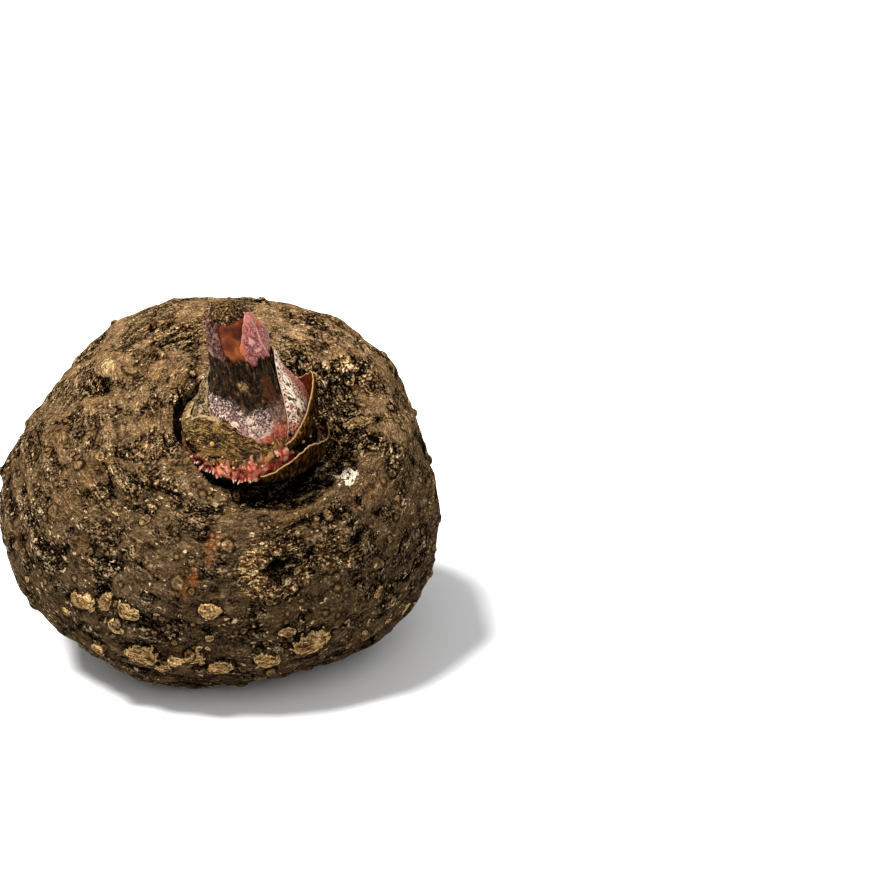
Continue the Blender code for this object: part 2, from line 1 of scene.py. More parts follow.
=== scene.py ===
"""Elephant foot yam: the finished bark of the corm and the skins of its sprouting shoot.

The first half repeats the shape of the part's source: the corm's radius in each
direction, and the outline of each scale round the shoot. The second half makes a
finer mesh of every piece on that shape, adds its relief, and paints it.
"""
import math
import random
from itertools import combinations, product
from types import SimpleNamespace

import bpy
import numpy as np
from mathutils import Matrix, Vector


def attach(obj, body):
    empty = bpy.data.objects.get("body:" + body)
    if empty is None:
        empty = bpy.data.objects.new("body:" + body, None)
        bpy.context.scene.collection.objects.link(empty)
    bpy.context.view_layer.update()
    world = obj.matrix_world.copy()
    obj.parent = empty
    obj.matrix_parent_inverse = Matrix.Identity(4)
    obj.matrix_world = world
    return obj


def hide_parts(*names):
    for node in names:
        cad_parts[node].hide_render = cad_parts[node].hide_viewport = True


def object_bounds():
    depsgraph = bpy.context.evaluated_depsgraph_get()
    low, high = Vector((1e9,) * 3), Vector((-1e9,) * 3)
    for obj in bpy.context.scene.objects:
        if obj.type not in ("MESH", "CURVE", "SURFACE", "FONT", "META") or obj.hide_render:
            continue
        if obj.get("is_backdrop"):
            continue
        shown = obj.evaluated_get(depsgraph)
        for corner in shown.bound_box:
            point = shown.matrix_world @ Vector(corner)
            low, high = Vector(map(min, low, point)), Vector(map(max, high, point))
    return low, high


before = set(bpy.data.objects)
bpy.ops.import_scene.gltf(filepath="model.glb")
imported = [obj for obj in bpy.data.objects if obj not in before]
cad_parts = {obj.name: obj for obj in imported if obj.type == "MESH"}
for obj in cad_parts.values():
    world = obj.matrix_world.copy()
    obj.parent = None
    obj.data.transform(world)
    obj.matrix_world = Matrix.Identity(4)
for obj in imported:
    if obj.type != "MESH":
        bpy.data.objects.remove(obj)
cad_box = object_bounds()

MM = 0.001

# Size of the corm
CORM_RADIUS = 98.5 * MM
CROWN_DEPTH = 66 * MM
ROOT_DEPTH = 70 * MM
ROUNDNESS = 2.2
CENTRE_HEIGHT = 70 * MM
SETTLE = 1.6 * MM
BODY_AXIS = (5, 63)

# Seat of the shoot: where it is, which way it faces, and the pit round it
CROWN = (26.8, 43.8)
SEAT_DEPTH = 55 * MM
SHOOT_AXIS = (11, 73)
SEAT_RADIUS = 29.5 * MM
LIP_RISE = 1.2 * MM
GAP = 0.35 * MM

# Size of the shoot
SHOOT_LENGTH = 68.5 * MM
SHOOT_LEAN = 10.5 * MM
LEAN_START = 12 * MM

# Heights of the shoot's pieces above the seat, in mm
TIP_SCALE_TOP = 66.4
TIP_SCALE_FOOT = 43
SHEATH_TOP = 47.5
SHEATH_FLAP = 13.5
SIDE_SCALE_TOP = 48
LEFT_SCALE_TOP = 34
COLLAR_TOP = 12.4
COLLAR_RISE = 9.5
CURLED_TOP = 32
CURLED_FALL = 19
FRILL_TOP = 3.6
FRILL_FLAP = 5.5
RIM_FOOT = 1
RIM_TOP = 4
RIM_RISE = 9.4

# Thickness of a dry scale, and the teeth of the frill
DRY = 0.8 * MM
FRILL_TEETH = 19
TOOTH_LENGTH = 2.4

# Lip of the pit: turn round the shoot in degrees, radius of its foot and of its edge in mm
LIP = (
    (-180, 32.5, 37),
    (-120, 31.8, 33.8),
    (-80, 31.8, 33.8),
    (-60, 32.2, 34.2),
    (-36, 33.4, 35.6),
    (-18, 34.4, 37.4),
    (-7, 38, 42.6),
    (0, 42, 47.2),
    (8, 45.5, 51),
    (20, 46, 53),
    (36, 43, 54),
    (55, 39, 54),
    (75, 36.5, 51),
    (100, 35, 47),
    (130, 33, 42),
    (180, 32.5, 37),
)

# Swellings and hollows of the body: azimuth, elevation, rise in mm, spread in degrees
SWELLINGS = (
    (-98, 30, -6.5, 24),
    (31, -66, -12, 26),
    (-59, -47, -8, 20),
    (100, 11, -4, 16),
    (121, 47, 5, 22),
    (88, -19, 3.5, 18),
    (-161, 68, 2.5, 24),
    (72, -45, 5.5, 18),
    (-31, -64, 3.5, 18),
    (31, 50, -8.5, 34),
    (75, 50, -4, 20),
    (178, -58, 10.5, 20),
    (29, -21, 2.5, 9),
    (31, 12, 2.5, 8),
    (-9, 30, 5.5, 10),
)

# Round things on the bark: azimuth, elevation, radius and rise in mm
BUMPS = (
    (5, -1, 8, 3),
    (-41, 7, 4.5, 1.8),
    (-34, 9, 4, 1.6),
    (-28, 4, 3.5, 1.5),
    (-24, 4, 3.5, 1.5),
    (-19, 8, 4, 1.8),
    (62, -12, 5, 2),
    (-60, 20, 5, 1.6),
)
# Scars of old cormels and roots, as rings: azimuth, elevation, radius, rise and hollow in mm
RINGS = (
    (22, -1, 12.5, 2.4, 4.5),
    (40, 1, 8, 1.8, 1.6),
    (-15, 5, 4, 1.5, 1),
    (-10, 2, 3.2, 1.2, 0.8),
    (-7, -16, 3, 1.2, 0.8),
    (118, -2, 11, 2.4, 4),
    (176, 12, 9, 2, 3),
    (-128, -8, 12, 2.4, 4),
    (-152, 38, 7, 1.8, 2),
    (-84, -14, 7, 1.6, 2),
)
# Dry tan patches: azimuth, elevation, long and short radius in mm, turn in degrees
PATCHES = (
    (-33, -11, 7, 4, 10),
    (-26, -10, 5, 3, 60),
    (-19, -11, 6, 3.4, -25),
    (-23, -16, 4.5, 3, 0),
    (-17, -24, 8, 5, -5),
    (-8, -25, 4, 3, 20),
    (-3, -24, 4.5, 3.4, -10),
    (4, -29, 6, 4, 0),
    (-31, -25, 5, 3.4, 20),
    (2, -10, 4.5, 3.4, 0),
    (29, -22, 9, 5.5, 15),
    (17, -26, 6, 4, -20),
)
WART_COUNT = 130
WART_SEED = 7

# Growth rings: azimuth and elevation of their pole, and the angles from it in degrees
RING_POLE = (18, 58)
RING_ANGLES = (58, 76, 90, 108, 126, 142, 156)
RING_WIDTH = 4.5


def unit(vectors):
    """The vectors at length 1."""
    vectors = np.asarray(vectors, float)
    return vectors / np.linalg.norm(vectors, axis=-1, keepdims=True)


def aim(azimuth, elevation):
    """Direction from the corm's centre: azimuth 0 is the front, 90 the right."""
    turn, rise = math.radians(azimuth), math.radians(elevation)
    return np.array((math.sin(turn) * math.cos(rise), -math.cos(turn) * math.cos(rise), math.sin(rise)))


def smooth(values, start, end):
    """0 before start, 1 past end, and an S curve between."""
    share = np.clip((values - start) / (end - start), 0, 1)
    return share * share * (3 - 2 * share)


def around(theta, front, right, back, left):
    """A wave round the shoot that has the given values at its four sides."""
    mean = (front + right + back + left) / 4
    tilt = (front - back) / 2 * np.cos(theta) + (right - left) / 2 * np.sin(theta)
    return mean + tilt + (front + back - right - left) / 4 * np.cos(2 * theta)


def lattice(cells, seed):
    """A settled random number from -1 to 1 for each whole point."""
    mixed = cells[..., 0] * 73856093 ^ cells[..., 1] * 19349663 ^ cells[..., 2] * 83492791 ^ seed * 7919
    mixed = (mixed ^ mixed >> 13) * 1274126177 & 0x7FFFFFFF
    return ((mixed ^ mixed >> 15) & 0xFFFF) / 32767.5 - 1


def noise(points, seed=0):
    """Smooth random lumps from -1 to 1, about one unit across."""
    cells = np.floor(points).astype(np.int64)
    part = points - cells
    part = part * part * (3 - 2 * part)
    total = np.zeros(points.shape[:-1])
    for corner in product((0, 1), repeat=3):
        weight = np.prod(np.where(corner, part, 1 - part), axis=-1)
        total += weight * lattice(cells + corner, seed)
    return total


UP = aim(*SHOOT_AXIS)
RIGHT = unit(np.cross((0, 1, 0), UP))
FRONT = np.cross(RIGHT, UP)
SEAT = aim(*CROWN) * SEAT_DEPTH


def bell(ways, place, spread):
    """1 at a place on the corm, falling to 0 within a few spreads of it."""
    return np.exp(-2 * (1 - ways @ aim(*place)) / math.radians(spread) ** 2)


def spot(ways, place, long=1.0, short=1.0, turn=0.0):
    """Distance from a place on the bark, in the radii of an oval round it."""
    out = aim(*place)
    right = unit(np.cross((0, 0, 1), out))
    up = np.cross(out, right)
    across, along = ways @ right * CORM_RADIUS / MM, ways @ up * CORM_RADIUS / MM
    cos, sin = math.cos(math.radians(turn)), math.sin(math.radians(turn))
    far = np.where(ways @ out > 0, 0.0, 100.0)
    return np.hypot((across * cos + along * sin) / long, (along * cos - across * sin) / short) + far


def body_radius(ways):
    """Radius of the plain body: a flattened round form with its swellings."""
    along = ways @ aim(*BODY_AXIS)
    across = np.sqrt(np.clip(1 - along * along, 0, 1))
    depth = np.where(along > 0, CROWN_DEPTH, ROOT_DEPTH)
    power = (np.abs(along) / depth) ** ROUNDNESS + (across / CORM_RADIUS) ** ROUNDNESS
    radius = power ** (-1 / ROUNDNESS)
    for azimuth, elevation, rise, spread in SWELLINGS:
        radius = radius + rise * MM * bell(ways, (azimuth, elevation), spread)
    return radius


def growth_rings(ways):
    """Low steps of the bark in rings round the crown."""
    polar = np.degrees(np.arccos(np.clip(ways @ aim(*RING_POLE), -1, 1)))
    polar = polar + 5 * noise(ways * 2.2, 3)
    height = np.zeros(len(ways))
    for angle in RING_ANGLES:
        step = (polar - angle) / RING_WIDTH
        height += 0.9 * step * np.exp(-step * step)
    return -height * MM * (0.6 + 0.4 * noise(ways * 3, 4))


def wart_draws():
    """Azimuth, elevation, radius and rise in mm of every wart, scattered evenly with a jitter."""
    draw = random.Random(WART_SEED)
    turn = math.pi * (3 - math.sqrt(5))
    for index in range(WART_COUNT):
        level = 1 - 2 * (index + 0.5) / WART_COUNT
        level = max(-0.99, min(0.99, level + draw.uniform(-0.05, 0.05)))
        angle = math.degrees(index * turn + draw.uniform(-0.12, 0.12))
        radius = draw.uniform(2.8, 4.8)
        yield angle, math.degrees(math.asin(level)), radius, draw.uniform(1.0, 2.1)


def warts(ways):
    """Low swellings of the root warts."""
    height = np.zeros(len(ways))
    for azimuth, elevation, radius, rise in wart_draws():
        height += rise * np.exp(-spot(ways, (azimuth, elevation), radius, radius) ** 2)
    return height * MM


def bark(ways):
    """Height of everything on the bark that shows from a step away."""
    height = growth_rings(ways) + warts(ways)
    height += 1.2 * MM * noise(ways * 4.3, 1) + 1.3 * MM * noise(ways * 9, 2)
    for azimuth, elevation, radius, rise in BUMPS:
        height += rise * MM * np.exp(-spot(ways, (azimuth, elevation), radius, radius * 0.85) ** 2)
    for azimuth, elevation, radius, rise, hollow in RINGS:
        far = spot(ways, (azimuth, elevation), radius, radius * 0.8)
        far = far + 0.25 * min(1, radius / 10) * noise(ways * 24, 5) * smooth(far, 0.1, 0.5)
        height += rise * MM * np.exp(-((far - 0.85) / 0.27) ** 2)
        height -= hollow * MM * np.exp(-(far / 0.48) ** 2)
    for azimuth, elevation, long, short, turn in PATCHES:
        height += 1.3 * MM * (1 - smooth(spot(ways, (azimuth, elevation), long, short, turn), 0.7, 1.15))
    return height + stem_knob(ways)


def stem_knob(ways):
    """The streaked knob at the upper left, with the hollow under it, which is painted dark as shade."""
    height = 5 * MM * np.exp(-spot(ways, (-74, 54), 10, 5, 25) ** 2)
    return height - 3.5 * MM * np.exp(-spot(ways, (-68, 45), 6, 4, 10) ** 2)


def ridge(ways):
    """The raised fold that runs round the right of the shoot's pit."""
    path = [aim(*place) for place in ((140, 74), (109, 68), (103, 52), (96, 38), (84, 25), (70, 17))]
    far = np.full(len(ways), 1.0)
    for start, end in zip(path, path[1:]):
        run = end - start
        share = np.clip((ways - start) @ run / (run @ run), 0, 1)
        far = np.minimum(far, np.linalg.norm(ways - start - share[:, None] * run, axis=1))
    return 4 * MM * np.exp(-(far / 0.065) ** 2)


def seat_view(ways):
    """Where the rays from the centre cross the seat's plane: radius, distance, turn."""
    facing = np.clip(ways @ UP, 0.12, None)
    reach = SEAT @ UP / facing
    across = ways * reach[:, None] - SEAT
    right, front = across @ RIGHT, across @ FRONT
    return reach, np.hypot(right, front), np.arctan2(right, front)


def lip_radii(theta):
    """Radius of the pit's wall at its foot and at its edge."""
    angles, feet, edges = np.array(LIP, float).T
    turn = np.degrees(theta)
    return np.interp(turn, angles, feet) * MM, np.interp(turn, angles, edges) * MM


def corm_points(ways):
    """Points of the corm's surface, one for each direction from its centre."""
    reach, far, theta = seat_view(ways)
    facing = smooth(ways @ UP, 0.12, 0.3)
    bowl_edge = around(theta, 50, 62, 54, 42) * MM
    bowl = around(theta, 1.0, 8.5, 5.5, 0.5) * MM * (1 - smooth(far, bowl_edge * 0.7, bowl_edge)) * facing
    skin = body_radius(ways) + ridge(ways) - bowl
    skin = skin + bark(ways) * (1 - facing + facing * smooth(far, 36 * MM, 46 * MM))
    foot, edge = lip_radii(theta)
    skin = skin + LIP_RISE * np.exp(-((far - edge - 2 * MM) / (3.2 * MM)) ** 2) * window(theta, -20, 60, 30)
    crevice = around(theta, 14, 8, 3, 5) * MM * smooth(far, SEAT_RADIUS, SEAT_RADIUS + 2.5 * MM)
    crevice = crevice * (1 - 0.15 * smooth(far, 35 * MM, 40 * MM))
    wall = np.where(facing > 0, smooth(far, foot, edge), 1.0)
    radius = reach - crevice
    radius = radius + (skin - radius) * wall
    points = ways * radius[:, None]
    points = draw_walls_in(points, far, facing)
    points[:, 2] = settle(points[:, 2] + CENTRE_HEIGHT)
    return points


def settle(height):
    """Heights pressed on to the floor, with a soft edge round the flat spot."""
    soft = np.clip(height + SETTLE, 0, 2 * SETTLE)
    return np.where(height > SETTLE, height, soft * soft / (4 * SETTLE))


def draw_walls_in(points, far, facing):
    """Stand the pit's walls upright, where they would lean out along the rays."""
    local = points - SEAT
    height = local @ UP
    flat = local - height[:, None] * UP
    distance = np.linalg.norm(flat, axis=1)
    pull = (1 - smooth(far, 37 * MM, 66 * MM)) * smooth(height, -2 * MM, 2 * MM) * facing
    wanted = distance + (far - distance) * pull
    return points + flat * (wanted / np.maximum(distance, MM) - 1)[:, None]


def lean(height):
    """How far the shoot's middle line has bent to the left at a height."""
    share = np.clip((height - LEAN_START) / (SHOOT_LENGTH - LEAN_START), 0, 1)
    return -SHOOT_LEAN * share ** 1.5


def on_shoot(radius, theta, height):
    """World points from radius and turn round the shoot's middle line."""
    right = radius * np.sin(theta) + lean(height)
    front = radius * np.cos(theta)
    flat = right[..., None] * RIGHT + front[..., None] * FRONT + height[..., None] * UP
    return SEAT + flat + np.array((0, 0, CENTRE_HEIGHT))


def curve(height, knots):
    """A smooth line through pairs of height and radius, both in mm."""
    heights, radii = np.array(knots, float).T * MM
    slopes = np.gradient(radii, heights)
    index = np.clip(np.searchsorted(heights, height) - 1, 0, len(heights) - 2)
    step = heights[index + 1] - heights[index]
    share = np.clip((height - heights[index]) / step, 0, 1)
    cube, square = share ** 3, share ** 2
    start = (2 * cube - 3 * square + 1) * radii[index] + (cube - 2 * square + share) * step * slopes[index]
    end = (3 * square - 2 * cube) * radii[index + 1] + (cube - square) * step * slopes[index + 1]
    return start + end


def window(theta, start, end, edge=14):
    """1 between two turns in degrees, falling to 0 within the edge outside them."""
    middle, half = (start + end) / 2, (end - start) / 2
    off = np.abs((np.degrees(theta) - middle + 180) % 360 - 180)
    return 1 - smooth(off, half, half + edge)


# Outlines of the shoot's parts: height above the seat and radius, in mm
CORE = ((0, 6), (15, 7.5), (30, 9.5), (42, 10.6), (50, 11.2), (57, 10.6), (62, 9.0), (66, 7.2), (68.5, 3.6))
BULB = (
    (0, 19.3), (4, 21.2), (10, 22.3), (16, 21.8), (24, 19.0),
    (32, 16.2), (40, 14.4), (48, 13.6), (56, 12.6), (62, 11.4),
)
SIDE = ((0, 21), (6, 24), (14, 26), (21, 25), (30, 20.8), (38, 17.2), (46, 15.6), (56, 15.2))
LEFT = ((0, 21), (5, 24.8), (12, 26.0), (21, 24.0), (28, 20.6), (34, 18.2), (40, 16.6))
COLLAR = ((0, 23.2), (2, 26.2), (5, 28.0), (9, 27.2), (14, 25.6), (20, 24.6), (30, 22))
COLLAR_LEFT = ((0, 23.2), (2, 26.6), (6, 30.2), (10, 29.8), (15, 28.4), (22, 26.4), (30, 24))


def core_radius(theta, height):
    """The pointed core, a little lumpy."""
    lump = 0.35 * MM * np.sin(3 * theta + height / MM * 0.2)
    lump = lump * smooth(height, 40 * MM, 50 * MM) * (1 - smooth(height, 60 * MM, 67 * MM))
    return curve(height, CORE) + lump


def sheath_radius(theta, height):
    """Outside of the sheath: the bulb and the neck."""
    return curve(height, BULB) + 0.3 * MM * np.sin(5 * theta + 1)


def second_radius(theta, height):
    """Outside of the ring of the left and right scales, and of the sheath between them."""
    base = sheath_radius(theta, height)
    thin = GAP + 1.3 * MM
    right = np.maximum((curve(height, SIDE) - base) * window(theta, 58, 160), thin)
    left = np.maximum((curve(height, LEFT) - base) * window(theta, -162, -62), thin)
    return base + right * window(theta, 42, 174, 7) + left * window(theta, -176, -46, 7)


def collar_radius(theta, height):
    """Outside of the fibrous collar, which flares most at the left."""
    share = window(theta, -150, -60, 40)
    plain = curve(height, COLLAR) * (1 - share) + curve(height, COLLAR_LEFT) * share
    return np.maximum(plain, second_radius(theta, height) + 1.2 * MM)


def tip_scale_shape():
    """The pink inner scale that wraps the right of the core's tip."""
    def limits(theta):
        middle = np.abs(np.degrees(theta) - 70) / 68
        top = TIP_SCALE_TOP - 7.5 * middle ** 1.6 - 13 * middle ** 4
        return (TIP_SCALE_FOOT + 7 * middle ** 2) * MM, top * MM

    def inner(theta, height, share):
        return core_radius(theta, height) + GAP

    def outer(theta, height, share):
        swell = smooth(height, 49 * MM, 56 * MM) * (1 - smooth(share, 0.6, 1))
        swell = swell * (1 - ((np.degrees(theta) - 70) / 68) ** 2)
        return inner(theta, height, share) + (0.7 + 1.8 * swell) * MM

    return limits, inner, outer


def sheath_shape():
    """The sheath: pale bulb, dark neck with a ragged edge, and a tall flap at the left."""
    def limits(theta):
        ragged = SHEATH_TOP + 1.6 * np.sin(9 * theta) + 1.3 * np.sin(17 * theta + 1) + 2 * np.cos(theta + 1)
        flap = SHEATH_FLAP * window(theta, -108, -38, 17)
        return np.full_like(theta, GAP), (ragged + flap) * MM

    def inner(theta, height, share):
        scale = 1.3 * MM * window(theta, -2, 142, 10) * smooth(height, 36 * MM, 41 * MM)
        return core_radius(theta, height) + GAP + scale

    def outer(theta, height, share):
        edge = smooth(share, 0.9, 1) * 0.5 * MM
        return np.maximum(sheath_radius(theta, height) - edge, inner(theta, height, share) + 0.7 * MM)

    return limits, inner, outer


def side_scale_shape():
    """The pale speckled scale at the right, with its pointed top."""
    def limits(theta):
        turn = np.degrees(theta)
        front = SIDE_SCALE_TOP - 36 * (1 - smooth(turn, 42, 84) ** 0.8)
        back = SIDE_SCALE_TOP - 30 * smooth(turn, 84, 172)
        return np.full_like(theta, GAP), np.where(turn < 84, front, back) * MM

    def inner(theta, height, share):
        room = second_radius(theta, height) - sheath_radius(theta, height) - GAP
        stand = 0.5 * np.maximum(room - 1.2 * MM, 0) * np.sin(np.pi * share)
        return sheath_radius(theta, height) + GAP + stand

    def outer(theta, height, share):
        edge = smooth(share, 0.55, 1)
        full = second_radius(theta, height) * (1 - edge) + (inner(theta, height, share) + DRY) * edge
        return np.minimum(full, second_radius(theta, height))

    return limits, inner, outer


def left_scale_shape():
    """The torn olive scale at the left and behind."""
    def limits(theta):
        turn = np.degrees(theta)
        top = LEFT_SCALE_TOP - 20 * smooth(-turn, 110, 176) - 14 * smooth(turn, -80, -46)
        return np.full_like(theta, GAP), (top + 1.4 * np.sin(turn * 0.35) + 1.2 * np.sin(turn * 0.9)) * MM

    def inner(theta, height, share):
        return sheath_radius(theta, height) + GAP

    def outer(theta, height, share):
        knobbly = 0.5 + 0.5 * np.sin(height / MM * 0.9) * np.sin(theta * 11)
        room = second_radius(theta, height) - inner(theta, height, share) - DRY
        edge = 1 - 0.8 * smooth(share, 0.7, 1)
        return inner(theta, height, share) + DRY + room * (1 - 0.3 * knobbly) * edge

    return limits, inner, outer


def collar_shape():
    """The fibrous collar round the front, left and back."""
    def limits(theta):
        turn = np.degrees(theta)
        top = COLLAR_TOP + COLLAR_RISE * (1 - smooth(turn, -32, 34)) * (1 - smooth(-turn, 46, 92))
        return np.full_like(theta, GAP), (top + 0.5 * np.sin(turn * 0.4)) * MM

    def inner(theta, height, share):
        return second_radius(theta, height) + GAP

    def outer(theta, height, share):
        edge = smooth(share, 0.75, 1)
        full = collar_radius(theta, height)
        full = full * (1 - edge) + (inner(theta, height, share) + DRY) * edge
        return np.maximum(full, inner(theta, height, share) + DRY)

    return limits, inner, outer


def curled_inner(theta, height):
    """Inside of the curled scale, which stands away from the bulb."""
    stand = 23 * MM + 4.6 * MM * smooth(height, 0, 16 * MM)
    return np.maximum(second_radius(theta, height) + GAP, stand)


def curled_scale_shape():
    """The papery scale at the right that curls away from the bulb."""
    def limits(theta):
        turn = np.degrees(theta)
        rise = CURLED_TOP - CURLED_FALL * (1 - smooth(turn, 22, 92)) - 14 * smooth(turn, 102, 144)
        return np.full_like(theta, GAP), rise * MM

    def inner(theta, height, share):
        return curled_inner(theta, height)

    def outer(theta, height, share):
        return inner(theta, height, share) + (1.4 - 0.5 * share) * MM

    return limits, inner, outer


def frill_teeth(theta):
    """Teeth along the front of the frill, from 0 between them to 1 at their points."""
    teeth = np.abs(np.sin(theta * FRILL_TEETH + 1.7 * np.sin(theta * 7)))
    return teeth * (0.65 + 0.35 * np.sin(theta * 13 + 2)) * window(theta, -54, 8, 12)


def frill_shape():
    """The salmon ring with its teeth hanging over the crevice."""
    def limits(theta):
        turn = np.degrees(theta)
        front = smooth(turn, -62, -40) + 1.1 * smooth(turn, -24, 22)
        top = FRILL_TOP + 4.2 * front * (1 - smooth(turn, 40, 58)) + 0.5 * np.sin(theta * 16)
        top = top + FRILL_FLAP * np.exp(-((turn - 30) / 5) ** 2)
        return np.full_like(theta, GAP), top * MM

    def inner(theta, height, share):
        level = np.maximum(height, 3.5 * MM)
        curled = (curled_inner(theta, level) + 1.4 * MM) * window(theta, 30, 148, 6)
        return np.maximum(collar_radius(theta, level), curled) + GAP + 0.3 * MM

    def outer(theta, height, share):
        base = inner(theta, height, share) + 1.0 * MM
        crest = (29.4 + 0.5 * np.sin(theta * 16) + TOOTH_LENGTH * frill_teeth(theta) * (1 - share)) * MM
        tucked = 2.6 * MM * (1 - smooth(share, 0, 0.5)) * (1 - window(theta, -54, 8, 12))
        return np.maximum(base, crest - tucked)

    return limits, inner, outer


def right_rim_shape():
    """The thin dry scale outside the frill at the right."""
    def limits(theta):
        turn = np.degrees(theta)
        top = RIM_TOP + RIM_RISE * np.exp(-((turn - 52) / 26) ** 2)
        return np.full_like(theta, RIM_FOOT * MM), top * MM

    def inner(theta, height, share):
        return (32 + 0.9 * share) * MM

    def outer(theta, height, share):
        return inner(theta, height, share) + 0.7 * MM

    return limits, inner, outer


# Turns in degrees between which each scale stands
SPANS = {
    "tip_scale": (14, 134),
    "sheath": (-180, 180),
    "frill": (-180, 180),
    "side_scale": (42, 174),
    "left_scale": (-176, -46),
    "outer_collar": (-214, 33),
    "curled_scale": (35, 143),
    "right_rim": (12, 108),
}


def turns(start, end, count, closed=False):
    """Evenly spaced turns round the shoot, from degrees."""
    return np.radians(np.linspace(start, end, count, endpoint=not closed))


# Fine mesh of the corm: small triangles along each edge of the twenty large ones
GEODESIC = 99

# Small dry patches and small warts of the bark
SMALL_PATCHES = 90
PATCH_SEED = 11
SMALL_WARTS = 420
SMALL_WART_SEED = 5

# Cracks: azimuth, elevation, half length and half width in mm, turn in degrees
CRACKS = ((30, 14, 12, 1.4, 8), (30, 10.5, 11, 1.2, 10), (10, -20, 14, 1.6, -8), (-60, -2, 12, 1.5, 25))

# Ovals on the bark: place, long and short radius in mm, turn in degrees, strength
GRITTY_GROUND = (
    ((22, -1), 13, 13, 0, 1),
    ((-72, 46), 8, 8, 0, 1),
    ((91, 45), 11, 11, 0, 1),
    ((68, 25), 7, 7, 0, 1),
    ((150, 30), 12, 12, 0, 1),
)
RUST_STREAKS = (((3, 6), 3.2, 9, -18, 1), ((-3, -3), 3, 7, -30, 1), ((-140, 20), 5, 12, 20, 0.8))
LICHEN_SPOTS = (((51, 18.5), 9, 4.4, 15, 1), ((-170, 44), 6, 4, -20, 1))
KNOB_PLACE = (-78, 51.5)
KNOB_TURN = 20
KNOB_SPOTS = ((KNOB_PLACE, 11, 6, KNOB_TURN, 1),)
# Hollow under the knob, painted dark as shade
KNOB_HOLLOWS = (((-70, 46), 9, 5, 10, 1),)

# Colours of the bark, in the 0 to 255 steps of a screen
# Painted shade in the gaps of the grain, and in grooves, moats and hollows
BARK_GAP_SHADE = (8, 5, 3)
BARK_DARK = (46, 36, 24)
BARK_MID = (89, 71, 50)
BARK_LIGHT = (138, 114, 84)
# Painted highlight of the grain's ridges and of its glinting flecks
BARK_HIGHLIGHT = (222, 190, 140)
PATCH_TAN = (166, 126, 76)
PATCH_PALE = (236, 196, 134)
PATCH_CRACK = (58, 40, 22)
RUST = (142, 80, 38)
LICHEN = (255, 238, 206)

# Tints that multiply the bark's colour: over 255 they brighten it
BROAD_TINT = (205, 195, 180)
GOLDEN_TINT = (275, 250, 196)
# Higher up: painted top light and paler dusty bark; lower down: painted shade and greyer bark
LOW_SHADE_AND_GREY_TINT = (222, 220, 218)
TOP_LIGHT_AND_DUST_TINT = (384, 374, 358)
# Painted shade of the pit round the shoot and of its crevice
SHADE_TINT = (84, 74, 64)

# Colours along a grain, as pairs of a place from 0 to 1 and a colour
# The grain runs from painted shade in its gaps to painted highlights on its ridges
BARK_GRAIN = ((0.0, BARK_GAP_SHADE), (0.16, BARK_DARK), (0.4, BARK_MID), (0.68, BARK_LIGHT), (1.0, BARK_HIGHLIGHT))
PATCH_GRAIN = ((0.38, PATCH_CRACK), (0.48, PATCH_TAN), (0.53, PATCH_TAN), (0.62, PATCH_PALE))
KNOB_GRAIN = ((0.34, (80, 58, 32)), (0.46, (146, 116, 72)), (0.6, (204, 174, 122)))
CRUMB_GRAIN = ((0.34, (24, 14, 8)), (0.45, (100, 70, 40)), (0.53, (168, 132, 82)), (0.62, (250, 220, 164)))

# Where the bark's grain keeps its brightness when its contrast changes
GRAIN_MIDDLE = 0.44


def linear(colour):
    """A screen colour as the linear one that the shader takes."""
    share = np.array(colour, float) / 255
    return tuple(np.where(share <= 0.04045, share / 12.92, ((share + 0.055) / 1.055) ** 2.4))


class Value:
    """A number that differs over a surface, for use in plain sums."""

    def __init__(self, look, socket):
        self.look = look
        self.socket = socket

    def __add__(self, other):
        return self.look.math("ADD", self, other)

    def __sub__(self, other):
        return self.look.math("SUBTRACT", self, other)

    def __mul__(self, other):
        return self.look.math("MULTIPLY", self, other)

    def __truediv__(self, other):
        return self.look.math("DIVIDE", self, other)

    def __abs__(self):
        return self.look.math("ABSOLUTE", self)

    __rmul__ = __mul__


